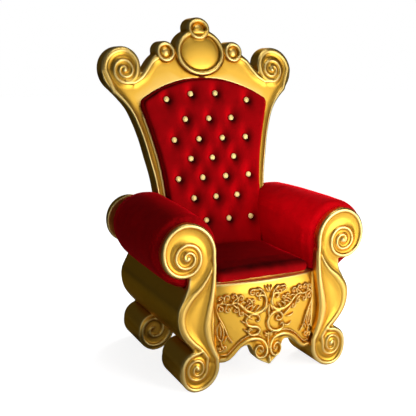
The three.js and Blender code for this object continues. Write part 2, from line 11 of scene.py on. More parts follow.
import bmesh
import bpy
import numpy as np
from mathutils import Matrix, Quaternion, Vector

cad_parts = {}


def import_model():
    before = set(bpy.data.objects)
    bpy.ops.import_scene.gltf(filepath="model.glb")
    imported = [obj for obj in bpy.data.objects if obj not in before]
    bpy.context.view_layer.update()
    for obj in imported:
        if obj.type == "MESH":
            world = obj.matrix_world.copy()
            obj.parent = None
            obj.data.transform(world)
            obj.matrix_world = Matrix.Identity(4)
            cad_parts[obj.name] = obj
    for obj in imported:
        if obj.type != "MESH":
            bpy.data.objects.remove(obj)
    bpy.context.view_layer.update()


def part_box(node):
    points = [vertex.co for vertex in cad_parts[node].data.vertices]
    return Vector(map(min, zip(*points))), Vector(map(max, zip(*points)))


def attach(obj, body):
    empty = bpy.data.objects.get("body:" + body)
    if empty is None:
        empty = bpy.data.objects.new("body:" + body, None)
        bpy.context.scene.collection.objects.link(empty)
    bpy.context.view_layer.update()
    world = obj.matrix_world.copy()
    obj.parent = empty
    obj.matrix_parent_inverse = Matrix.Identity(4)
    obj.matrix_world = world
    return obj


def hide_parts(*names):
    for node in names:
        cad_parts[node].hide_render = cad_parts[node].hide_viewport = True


LOG = logging.getLogger("throne")

Item = bpy.types.Object
Material = bpy.types.Material
Node = bpy.types.Node
NodeTree = bpy.types.NodeTree
Socket = bpy.types.NodeSocket
Pair = tuple[float, float]
Point = tuple[float, float]
Station = tuple[float, float, float]
Triple = tuple[float, float, float]
Surface = Callable[[float, float], float]

MM = 0.001
TINY = 1e-9
WHITE = (1.0, 1.0, 1.0, 1.0)
FOOT_FLAT = 2.5 * MM  # taken off under the feet
BACK_LEAN = 0.2227  # slope of the back, in y for each z
BACK_FRONT_Y = 0.6403  # y of the back's front where it is 1 m up


class Side(Enum):
    """The two sides of the throne, by the sign of x."""

    RIGHT = 1
    LEFT = -1


class Slot(Enum):
    """The record's material slots."""

    GOLD = "gold"
    VELVET = "red_velvet"
    BUTTON = "button_gold"


# ---- Curves --------------------------------------------------------------------------------


def smooth(points: Sequence[tuple[float, ...]], per_span: int) -> np.ndarray:
    """Lays a centripetal curve through points.

    Args:
        points: The points to pass through, of any dimension.
        per_span: Steps between two neighbouring points.

    Returns:
        An array with one row for each step.
    """
    p = np.array(points, float)
    rows = []
    for i in range(len(p) - 1):
        p1, p2 = p[i], p[i + 1]
        p0 = p[i - 1] if i > 0 else 2 * p1 - p2
        p3 = p[i + 2] if i + 2 < len(p) else 2 * p2 - p1
        spans = ((p0, p1), (p1, p2), (p2, p3))
        gaps = [max(np.linalg.norm(b - a), TINY) ** 0.5 for a, b in spans]
        slope1 = (p1 - p0) / gaps[0] - (p2 - p0) / (gaps[0] + gaps[1]) + (p2 - p1) / gaps[1]
        slope2 = (p2 - p1) / gaps[1] - (p3 - p1) / (gaps[1] + gaps[2]) + (p3 - p2) / gaps[2]
        slope1, slope2 = slope1 * gaps[1], slope2 * gaps[1]
        for k in range(per_span):
            t = k / per_span
            rows.append(
                p1
                + slope1 * t
                + (-3 * p1 + 3 * p2 - 2 * slope1 - slope2) * t**2
                + (2 * p1 - 2 * p2 + slope1 + slope2) * t**3
            )
    rows.append(p[-1])
    return np.array(rows)


@dataclass(frozen=True)
class Volute:
    """A scroll, by its centre and its radius at each quarter turn, in millimetres."""

    x: float
    z: float
    radii: tuple[float, ...]
    start: float
    turn: int
    widths: Pair

    def stations(self, per_quarter: int = 14) -> list[Station]:
        """Winds the scroll.

        Args:
            per_quarter: Steps in each quarter turn.

        Returns:
            Stations of x, half width and z, each drawn in by its own half width.
        """
        radii = smooth([(float(i), r) for i, r in enumerate(self.radii)], per_quarter)[:, 1]
        count = len(radii) - 1
        rows = []
        for k, radius in enumerate(radii):
            angle = math.radians(self.start + self.turn * 90 * k / per_quarter)
            width = self.widths[0] + (self.widths[1] - self.widths[0]) * k / count
            reach = radius - width
            rows.append((self.x + reach * math.cos(angle), width, self.z + reach * math.sin(angle)))
        return rows

    def disc(self, steps: int = 72) -> list[Point]:
        """The closed outline of the scroll's first turn, from its first four radii.

        Args:
            steps: Points around the outline.

        Returns:
            The outline's points, in millimetres.
        """
        closed = (*self.radii[:4], self.radii[0])
        radii = np.interp(np.arange(steps) * 4 / steps, range(5), closed)
        points = []
        for k, radius in enumerate(radii):
            angle = math.radians(self.start + self.turn * 360 * k / steps)
            points.append((self.x + radius * math.cos(angle), self.z + radius * math.sin(angle)))
        return points


# ---- Bench work ----------------------------------------------------------------------------


class Bench:
    """Small operations on meshes that several pieces share."""

    RIM_SIDES = 12
    FULL_WIDTH = 7  # a rim at least this wide, in millimetres, stands at its full height
    CHUNK = 4000  # vertices that are measured against the rims at a time

    @staticmethod
    def only(*items: Item) -> None:
        """Selects these objects alone and makes the first one active.

        Args:
            *items: The objects.
        """
        if bpy.context.object and bpy.context.object.mode != "OBJECT":
            bpy.ops.object.mode_set(mode="OBJECT")
        bpy.ops.object.select_all(action="DESELECT")
        for item in items:
            item.select_set(True)
        bpy.context.view_layer.objects.active = items[0]

    @staticmethod
    def start(add: Callable[..., object], **settings: object) -> Item:
        """Adds a primitive while nothing else is selected.

        Args:
            add: The operator that adds it.
            **settings: The operator's settings; without a location it stands at the origin.

        Returns:
            The new object.
        """
        bpy.ops.object.select_all(action="DESELECT")
        add(**{"location": (0, 0, 0), **settings})
        return bpy.context.object

    @staticmethod
    def link(name: str, data: bpy.types.ID) -> Item:
        """Puts a new object with this data into the scene.

        Args:
            name: The object's name.
            data: Its mesh, light or camera.

        Returns:
            The new object.
        """
        made = bpy.data.objects.new(name, data)
        bpy.context.collection.objects.link(made)
        return made

    @staticmethod
    @contextmanager
    def editing(item: Item, action: str = "SELECT") -> Iterator[None]:
        """Opens a mesh for editing.

        Args:
            item: The mesh object.
            action: "SELECT" to start with all of it selected, or "DESELECT" with none.

        Yields:
            Nothing, while the mesh is open.
        """
        Bench.only(item)
        bpy.ops.object.mode_set(mode="EDIT")
        bpy.ops.mesh.select_all(action=action)
        yield
        bpy.ops.object.mode_set(mode="OBJECT")

    @staticmethod
    def pick(item: Item, wanted: Callable[[bmesh.types.BMFace], bool]) -> bool:
        """Selects the faces of an open mesh that pass a test.

        Args:
            item: The object being edited.
            wanted: The test.

        Returns:
            Whether any face passed.
        """
        mesh = bmesh.from_edit_mesh(item.data)
        for face in mesh.faces:
            face.select_set(wanted(face))
        bmesh.update_edit_mesh(item.data)
        return any(face.select for face in mesh.faces)

    @staticmethod
    def step(inset: float, shift: Triple) -> None:
        """Insets the selected faces and moves them, both in millimetres."""
        bpy.ops.mesh.inset(thickness=inset * MM)
        bpy.ops.transform.translate(value=tuple(MM * part for part in shift))

    @staticmethod
    def board(outline: Sequence[Point], front: float, back: float) -> Item:
        """Makes a flat board from an outline in x and z.

        Args:
            outline: Its points in millimetres.
            front: The y of its front face, in millimetres.
            back: The y of its back face, in millimetres.

        Returns:
            The board.
        """
        circle = {"vertices": len(outline), "radius": 0.1, "fill_type": "NGON"}
        made = Bench.start(bpy.ops.mesh.primitive_circle_add, **circle)
        for vertex, (x, z) in zip(made.data.vertices, outline):
            vertex.co = (x * MM, front * MM, z * MM)
        with Bench.editing(made):
            shift = {"value": (0, (back - front) * MM, 0)}
            bpy.ops.mesh.extrude_region_move(TRANSFORM_OT_translate=shift)
        Bench.face_out(made)
        return made

    @staticmethod
    def from_rings(rings: Sequence[Sequence[Sequence[float]]], closed: bool = False) -> Item:
        """Skins rings of points, all of one length.

        Args:
            rings: The rings, in metres.
            closed: Whether the last ring joins the first; otherwise both ends are filled.

        Returns:
            The skinned object.
        """
        size, count = len(rings[0]), len(rings)
        points = [tuple(p) for ring in rings for p in ring]
        faces: list[list[int]] = []
        for r in range(count if closed else count - 1):
            base, after = r * size, ((r + 1) % count) * size
            for i in range(size):
                j = (i + 1) % size
                faces.append([base + i, base + j, after + j, after + i])
        if not closed:
            faces.append(list(range(size))[::-1])
            faces.append([(count - 1) * size + i for i in range(size)])
        mesh = bpy.data.meshes.new("skin")
        mesh.from_pydata(points, [], faces)
        made = Bench.link("skin", mesh)
        Bench.face_out(made)
        return made

    @staticmethod
    def rim(
        stations: Sequence[Station],
        surface: Surface,
        height: float,
        closed: bool = False,
        sink: float = 5.0,
    ) -> Item:
        """Sweeps a half-round rim along a surface.

        Args:
            stations: x, half width and z along the rim, in millimetres.
            surface: The y of the surface at x and z, in millimetres.
            height: How far the crest stands in front of the surface, in millimetres.
            closed: Whether the rim is a ring.
            sink: How deep its foot lies behind the surface, in millimetres.

        Returns:
            The rim.
        """
        path = np.array(stations, float)
        if closed:
            along = np.roll(path, -1, 0) - np.roll(path, 1, 0)
        else:
            along = np.gradient(path, axis=0)
        along = along[:, [0, 2]]
        along /= np.maximum(np.linalg.norm(along, axis=1, keepdims=True), TINY)
        rings = []
        for (x, width, z), (ax, az) in zip(path, along):
            rise = height * min(1.0, width / Bench.FULL_WIDTH)
            base = surface(x, z)
            ring = []
            for k in range(Bench.RIM_SIDES):
                angle = 2 * math.pi * k / Bench.RIM_SIDES
                across, up = width * math.cos(angle), math.sin(angle)
                y = base - rise * up if up > 0 else base - sink * up
                ring.append(((x - az * across) * MM, y * MM, (z + ax * across) * MM))
            rings.append(ring)
        return Bench.from_rings(rings, closed)

    @staticmethod
    def dome(x: float, y: float, z: float, reach: Triple) -> Item:
        """Makes an oval dome from a stretched sphere, in millimetres.

        Args:
            x: Its centre in x.
            y: Its centre in y.
            z: Its centre in z.
            reach: How far it reaches in x, y and z.

        Returns:
            The dome.
        """
        place = (x * MM, y * MM, z * MM)
        sphere = {"segments": 48, "ring_count": 24, "radius": 1, "rotation": (math.pi / 2, 0, 0)}
        made = Bench.start(bpy.ops.mesh.primitive_uv_sphere_add, location=place, **sphere)
        made.scale = (reach[0] * MM, reach[2] * MM, reach[1] * MM)
        Bench.settle(made)
        return made

    @staticmethod
    def settle(item: Item) -> None:
        """Moves an object's place, turn and scale into its mesh."""
        Bench.only(item)
        bpy.ops.object.transform_apply(location=True, rotation=True, scale=True)

    @staticmethod
    def face_out(item: Item) -> None:
        """Turns all faces of a closed mesh outwards."""
        with Bench.editing(item):
            bpy.ops.mesh.normals_make_consistent(inside=False)

    @staticmethod
    def join(items: Sequence[Item], name: str) -> Item:
        """Joins objects into the first one under a new name.

        Args:
            items: The objects.
            name: The name of what they become.

        Returns:
            The joined object.
        """
        Bench.only(*items)
        if len(items) > 1:
            bpy.ops.object.join()
        made = bpy.context.object
        made.name = made.data.name = name
        return made

    @staticmethod
    def apply(item: Item, kind: str, **settings: object) -> None:
        """Adds a modifier and applies it.

        Args:
            item: The object.
            kind: The modifier's type.
            **settings: The modifier's settings.
        """
        Bench.only(item)
        modifier = item.modifiers.new(kind.lower(), kind)
        for key, value in settings.items():
            setattr(modifier, key, value)
        bpy.ops.object.modifier_apply(modifier=modifier.name)

    @staticmethod
    def bevel(item: Item, width: float, segments: int, degrees: float = 30.0) -> None:
        """Rounds edges sharper than an angle, by a width in millimetres."""
        limit = {"limit_method": "ANGLE", "angle_limit": math.radians(degrees)}
        Bench.apply(item, "BEVEL", width=width * MM, segments=segments, **limit)

    @staticmethod
    def cut(item: Item, tool: Item) -> None:
        """Cuts a tool's shape out of an item and removes the tool."""
        Bench.apply(item, "BOOLEAN", operation="DIFFERENCE", object=tool, solver="EXACT")
        bpy.data.objects.remove(tool)

    @staticmethod
    def fuse(item: Item, voxel: float, passes: int) -> None:
        """Fuses overlapping shapes into one skin with soft inner corners.

        Args:
            item: The joined shapes.
            voxel: Size of the grid, in millimetres.
            passes: Smoothing passes.
        """
        Bench.apply(item, "REMESH", mode="VOXEL", voxel_size=voxel * MM, adaptivity=0.0)
        Bench.apply(item, "SMOOTH", factor=0.5, iterations=passes)
        Bench.round_shading(item)

    @staticmethod
    def soften_channels(
        item: Item,
        paths: Sequence[Sequence[Station]],
        surface: Surface,
        height: float,
        reach: float,
        cones: Sequence[tuple[float, float, float, float]],
    ) -> None:
        """Raises the ground beside rims, so that the channels between them are hollow.

        Args:
            item: The fused carving, drawn in metres.
            paths: The rims' stations, in millimetres.
            surface: The y of the plain ground at x and z, in millimetres.
            height: How far the ground rises at the foot of a rim, in millimetres.
            reach: How far from the rim's foot it rises, in millimetres.
            cones: x, z, radius and height of each scroll's raised middle, in millimetres.
        """
        rows = Bench.coordinates(item)
        stations = np.concatenate([np.array(path, float) for path in paths])
        ground = np.array([surface(x, z) for x, z in rows[:, [0, 2]] / MM])
        near = np.nonzero(rows[:, 1] / MM < ground + 1.0)[0]
        for part in np.array_split(near, max(1, len(near) // Bench.CHUNK)):
            flat = rows[part][:, [0, 2]] / MM
            away = np.linalg.norm(flat[:, None] - stations[None][:, :, [0, 2]], axis=2)
            away -= stations[None][:, :, 1]
            share = np.clip(1 - away.min(1) / reach, 0, 1)
            raised = (ground[part] - height * share**2) * MM
            rows[part, 1] = np.minimum(rows[part, 1], raised)
            for x, z, radius, rise in cones:
                inside = np.clip(1 - np.linalg.norm(flat - (x, z), axis=1) / radius, 0, 1)
                rows[part, 1] -= rise * inside**1.5 * MM
        Bench.set_coordinates(item, rows)

    @staticmethod
    def ease(item: Item, passes: int, keep: float) -> None:
        """Smooths a carving and thins its faces.

        Args:
            item: The carving.
            passes: How often it is smoothed.
            keep: The share of its faces that is kept.
        """
        Bench.apply(item, "SMOOTH", factor=0.5, iterations=passes)
        Bench.apply(item, "DECIMATE", decimate_type="COLLAPSE", ratio=keep)
        Bench.round_shading(item)

    @staticmethod
    def round_shading(item: Item, degrees: float = 180.0) -> None:
        """Shades an object smoothly.

        Args:
            item: The object.
            degrees: The angle between two faces from which their edge stays sharp.
        """
        Bench.only(item)
        if degrees >= 180:
            bpy.ops.object.shade_smooth()
        else:
            bpy.ops.object.shade_smooth_by_angle(angle=math.radians(degrees))

    @staticmethod
    def coordinates(item: Item, kind: str = "co") -> np.ndarray:
        """Reads a row of three numbers for each vertex of a mesh.

        Args:
            item: The mesh object.
            kind: "co" for places, "normal" for normals.

        Returns:
            The rows.
        """
        flat = np.empty(len(item.data.vertices) * 3)
        item.data.vertices.foreach_get(kind, flat)
        return flat.reshape(-1, 3)

    @staticmethod
    def set_coordinates(item: Item, rows: np.ndarray) -> None:
        """Moves the vertices of a mesh."""
        item.data.vertices.foreach_set("co", rows.astype(np.float32).ravel())
        item.data.update()

    @staticmethod
    def store(item: Item, name: str, values: np.ndarray) -> None:
        """Stores a value from -1 to 1 at each vertex."""
        held = item.data.attributes.new(name, "FLOAT", "POINT")
        held.data.foreach_set("value", np.clip(values, -1, 1).astype(np.float32))

    @staticmethod
    def mark_relief(item: Item, passes: int = 40, scale: float = 3.0) -> None:
        """Stores how far each vertex stands out of, or lies under, the smoothed surface.

        Args:
            item: The carved mesh.
            passes: Smoothing passes of the surface that it is measured from.
            scale: Height that counts as one, in millimetres.
        """
        mesh = item.data
        count = len(mesh.vertices)
        ends = np.empty(len(mesh.edges) * 2, np.int32)
        mesh.edges.foreach_get("vertices", ends)
        first, second = ends.reshape(-1, 2).T
        degree = np.bincount(ends, minlength=count).clip(1)
        rows = Bench.coordinates(item)
        soft = rows.copy()
        for _ in range(passes):
            for axis in range(3):
                line = soft[:, axis]
                total = np.bincount(first, line[second], count)
                total += np.bincount(second, line[first], count)
                soft[:, axis] = 0.5 * line + 0.5 * total / degree
        height = ((rows - soft) * Bench.coordinates(item, "normal")).sum(1)
        Bench.store(item, "relief", height / (scale * MM))

    @staticmethod
    def mark_facing_shade(item: Item, lit_way: Triple, gain: float | np.ndarray) -> None:
        """Stores painted light and shade for a velvet piece: how far each vertex faces a given way.

        Args:
            item: The velvet mesh.
            lit_way: The way that the most brightly painted surfaces face.
            gain: How strongly it shows, the same everywhere or for each vertex.
        """
        normals = Bench.coordinates(item, "normal")
        Bench.store(item, "facing_shade", normals @ np.array(lit_way) * gain)

    @staticmethod
    def mirrored(item: Item, name: str) -> Item:
        """A copy on the other side of the throne, with its own mesh.

        Args:
            item: The object to copy.
            name: The name of the copy.

        Returns:
            The copy.
        """
        other = Bench.link(name, item.data.copy())
        other.data.name = name
        other.data.transform(Matrix.Scale(-1, 4, (1, 0, 0)))
        other.data.flip_normals()
        return other


@dataclass(frozen=True)
class Placing:
    """Carries shapes from the drawing, where y = 0 fronts the arm scrolls, to the frame."""

    front_y: float

    def put(self, item: Item) -> None:
        """Moves a drawn shape's mesh to its place in the frame."""
        item.data.transform(Matrix.Translation((0, self.front_y, -FOOT_FLAT)))

    @staticmethod
    def recline(item: Item) -> None:
        """Leans a shape that was drawn upright on y = 0 back along the recline.

        Args:
            item: The shape.
        """
        rows = Bench.coordinates(item)
        rows[:, 1] += BACK_FRONT_Y + BACK_LEAN * (rows[:, 2] - 1.0)
        Bench.set_coordinates(item, rows)


# ---- Finishes ------------------------------------------------------------------------------


@dataclass(frozen=True)
class Graph:
    """A node tree that is being wired."""

    tree: NodeTree

    FIRST = 6  # a Mix node's colour sockets come after those for numbers and vectors
    SECOND = 7
    MIXED = 2

    @staticmethod
    def material(name: str) -> tuple[Material, "Graph", Node]:
        """Starts a new material.

        Args:
            name: Its name.

        Returns:
            The material, its graph and its Principled shader.
        """
        made = bpy.data.materials.new(name)
        made.use_nodes = True
        return made, Graph(made.node_tree), made.node_tree.nodes["Principled BSDF"]

    def feed(self, node: Node, inputs: dict[str | int, object]) -> None:
        """Fills inputs of a node.

        Args:
            node: The node.
            inputs: For each input, a value or the socket that leads into it.
        """
        for key, value in inputs.items():
            if isinstance(value, Socket):
                self.tree.links.new(value, node.inputs[key])
            else:
                node.inputs[key].default_value = value

    def add(self, kind: str, inputs: dict[str | int, object], **settings: object) -> Node:
        """Adds a shader node.

        Args:
            kind: The node's type, without ShaderNode.
            inputs: What its inputs are set to or fed with.
            **settings: Its properties.

        Returns:
            The node.
        """
        node = self.tree.nodes.new(f"ShaderNode{kind}")
        for key, value in settings.items():
            setattr(node, key, value)
        self.feed(node, inputs)
        return node

    def attribute(self, name: str) -> Socket:
        """The value that is stored at each vertex under a name."""
        return self.add("Attribute", {}, attribute_name=name).outputs["Fac"]

    def group(self, tree: NodeTree, inputs: dict[str | int, object]) -> Node:
        """Adds a shared group with its own values."""
        return self.add("Group", inputs, node_tree=tree)

    def spread(
        self, value: Socket, low: float, high: float, start: object = 0.0, full: object = 1.0
    ) -> Socket:
        """Maps a value onto another range.

        Args:
            value: The value.
            low: The result at the start.
            high: The result at the full value.
            start: Where the value starts, a number or a socket.
            full: Where it is full, a number or a socket.

        Returns:
            The mapped value.
        """
        ends = {"From Min": start, "From Max": full, "To Min": low, "To Max": high}
        return self.add("MapRange", {"Value": value, **ends}).outputs["Result"]

    def mix(self, factor: Socket, first: object, second: object) -> Socket:
        """Mixes two colours, each a plain colour or a socket.

        Args:
            factor: The share of the second one.
            first: The first colour.
            second: The second colour.

        Returns:
            The mixed colour.
        """
        node = self.add("Mix", {"Factor": factor}, data_type="RGBA")
        for key, colour in ((self.FIRST, first), (self.SECOND, second)):
            plain = not isinstance(colour, Socket)
            self.feed(node, {key: (*colour, 1.0) if plain else colour})
        return node.outputs[self.MIXED]

    def bump(self, height: Socket, strength: float, distance: float) -> Socket:
        """Turns a height into a normal."""
        inputs = {"Height": height, "Strength": strength, "Distance": distance}
        return self.add("Bump", inputs).outputs["Normal"]

    def by_ray(self, other: Socket, camera: Socket) -> Socket:
        """One shader for what the camera sees and another for every other ray."""
        path = self.add("LightPath", {}).outputs["Is Camera Ray"]
        return self.add("MixShader", {"Fac": path, 1: other, 2: camera}).outputs["Shader"]


@dataclass
class ShaderKit:
    """Node groups that the finishes share."""

    @staticmethod
    def _open(
        name: str, inputs: dict[str, float], outputs: Sequence[str]
    ) -> tuple[Graph, Node, Node]:
        """Starts a node group.

        Args:
            name: Its name.
            inputs: Its inputs and their first values.
            outputs: Its outputs.

        Returns:
            Its graph, its input node and its output node.
        """
        tree = bpy.data.node_groups.new(name, "ShaderNodeTree")
        kind = "NodeSocketFloat"
        for label, value in inputs.items():
            socket = tree.interface.new_socket(label, in_out="INPUT", socket_type=kind)
            socket.default_value = value
        for label in outputs:
            tree.interface.new_socket(label, in_out="OUTPUT", socket_type=kind)
        return Graph(tree), tree.nodes.new("NodeGroupInput"), tree.nodes.new("NodeGroupOutput")

    @cached_property
    def painted_highlight_and_shade(self) -> NodeTree:
        """Masks for the painted highlight on crests, Edge, and the painted shade in hollows,
        Hollow, from the relief.
        """
        limits = {"Edge Start": 0.05, "Edge Full": 0.7, "Hollow Start": -0.05, "Hollow Full": -0.7}
        masks = ("Edge", "Hollow")
        graph, inputs, outputs = self._open("painted_crest_highlight_and_hollow_shade", limits, masks)
        relief = graph.attribute("relief")
        for mask in masks:
            start, full = (inputs.outputs[f"{mask} {end}"] for end in ("Start", "Full"))
            graph.feed(outputs, {mask: graph.spread(relief, 0.0, 1.0, start, full)})
        return graph.tree

    @cached_property
    def grain(self) -> NodeTree:
        """Mottling at two scales, Broad and Fine, on the object's own coordinates."""
        scales = {"Broad Scale": 9.0, "Fine Scale": 140.0}
        graph, inputs, outputs = self._open("surface_grain", scales, ("Broad", "Fine"))
        place = graph.add("TexCoord", {}).outputs["Object"]
        for label, detail in (("Broad", 3.0), ("Fine", 4.0)):
            scale = inputs.outputs[f"{label} Scale"]
            cloud = graph.add("TexNoise", {"Vector": place, "Scale": scale, "Detail": detail})
            graph.feed(outputs, {label: cloud.outputs["Fac"]})
        return graph.tree


@dataclass(frozen=True)
class GiltFinish:
    """Burnished gold over the carving, with painted shade in its hollows and a painted highlight on
    its edges.
    """

    name: str
    gold: Triple
    # shade is painted shade for the hollows; light is a painted highlight for the crests.
    shade: Triple
    light: Triple
    roughness: Pair
    metallic: float = 1.0
    # hollow and edge set where the painted shade and the painted highlight begin and are full.
    hollow: Pair = (-0.05, -0.8)
    edge: Pair = (0.05, 0.9)
    glint: tuple[float, ...] = (1.0, 0.72, 0.3, 1.0)
    mottle: float = 0.86

    def material(self, kit: ShaderKit) -> Material:
        """Builds the finish.

        Args:
            kit: The shared node groups.

        Returns:
            The material.
        """
        made, graph, body = Graph.material(self.name)
        limits = {"Edge Start": self.edge[0], "Edge Full": self.edge[1]}
        limits |= {"Hollow Start": self.hollow[0], "Hollow Full": self.hollow[1]}
        painted_highlight_and_shade = graph.group(kit.painted_highlight_and_shade, limits).outputs
        grain = graph.group(kit.grain, {"Broad Scale": 7.0, "Fine Scale": 30.0}).outputs
        darker = tuple(self.mottle * c for c in self.gold)
        colour = graph.mix(grain["Broad"], self.gold, darker)
        # Painted shade in the hollows, then a painted highlight on the crests.
        colour = graph.mix(painted_highlight_and_shade["Hollow"], colour, self.shade)
        colour = graph.mix(painted_highlight_and_shade["Edge"], colour, self.light)
        looks = {
            "Metallic": self.metallic,
            "Specular Tint": self.glint,
            "Base Color": colour,
            "Roughness": graph.spread(grain["Fine"], *self.roughness),
            "Normal": graph.bump(grain["Broad"], 0.05, 0.002),
        }
        graph.feed(body, looks)
        return made


@dataclass(frozen=True)
class VelvetFinish:
    """Red velvet, mottled at random, with painted light and shade: lighter or darker by which way
    each surface faces.
    """

    name: str
    # deep and bright are painted shade and painted light; nap sets how strongly the facing shows
    # beside the random mottle.
    deep: Triple
    bright: Triple
    sheen: float
    facing_shade: float = 0.5
    cloud: tuple[float, ...] = (0.43, 0.57, 0.3, 0.7)

    def material(self, kit: ShaderKit) -> Material:
        """Builds the finish.

        Args:
            kit: The shared node groups.

        Returns:
            The material.
        """
        made, graph, body = Graph.material(self.name)
        grain = graph.group(kit.grain, {"Broad Scale": 16.0, "Fine Scale": 700.0}).outputs
        cloud = graph.spread(grain["Broad"], *self.cloud)
        # Painted light and shade: the stored facing value, added to the random mottle, mixes the
        # deep colour towards the bright one.
        facing_inputs = {0: graph.attribute("facing_shade"), 1: self.facing_shade, 2: cloud}
        lit_share = graph.add("Math", facing_inputs, operation="MULTIPLY_ADD", use_clamp=True)
        looks = {
            "Specular IOR Level": 0.06,
            "Sheen Weight": self.sheen,
            "Sheen Roughness": 0.3,
            "Sheen Tint": (1.0, 0.0, 0.01, 1.0),
            "Base Color": graph.mix(lit_share.outputs["Value"], self.deep, self.bright),
            "Roughness": graph.spread(grain["Fine"], 0.72, 0.95),
            "Normal": graph.bump(grain["Fine"], 0.25, 0.0006),
        }
        graph.feed(body, looks)
        return made


@dataclass
class Finishes:
    """The throne's finishes, each built once."""

    kit: ShaderKit = field(default_factory=ShaderKit)
    made: dict[Slot, Material] = field(default_factory=dict)

    def build(self) -> None:
        """Builds every finish."""
        finishes = {
            # Each gilt's shade is painted shade for its hollows and its light a painted highlight
            # for its crests.
            Slot.GOLD: GiltFinish(
                "burnished_gilt",
                gold=(0.92, 0.52, 0.065),
                shade=(0.36, 0.15, 0.01),
                light=(1.0, 0.75, 0.27),
                roughness=(0.3, 0.4),
            ),
            Slot.BUTTON: GiltFinish(
                "pale_button_gilt",
                gold=(1.0, 0.76, 0.26),
                shade=(0.8, 0.5, 0.1),
                light=(1.0, 0.86, 0.45),
                roughness=(0.42, 0.55),
                metallic=0.45,
            ),
            # The velvet's deep and bright colours are painted shade and painted light, mixed by
            # which way each surface faces and by a random mottle.
            Slot.VELVET: VelvetFinish(
                "red_velvet", deep=(0.025, 0.0, 0.0), bright=(0.5, 0.0, 0.003), sheen=0.5
            ),
        }
        self.made = {slot: finish.material(self.kit) for slot, finish in finishes.items()}

    def dress(self, piece: Item, slot: Slot, node: str) -> None:
        """Gives a piece its finish and its place in the frame.

        Args:
            piece: The finished piece.
            slot: Its material slot.
            node: The CAD node that it stands for.
        """
        # The relief sets where the gilt's painted shade and painted highlight fall.
        if slot is not Slot.VELVET and "relief" not in piece.data.attributes:
            Bench.mark_relief(piece)
        piece.data.materials.clear()
        piece.data.materials.append(self.made[slot])
        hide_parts(node)
        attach(piece, "root")
        LOG.info("%s: %d faces", piece.name, len(piece.data.polygons))


# ---- Side frames ---------------------------------------------------------------------------


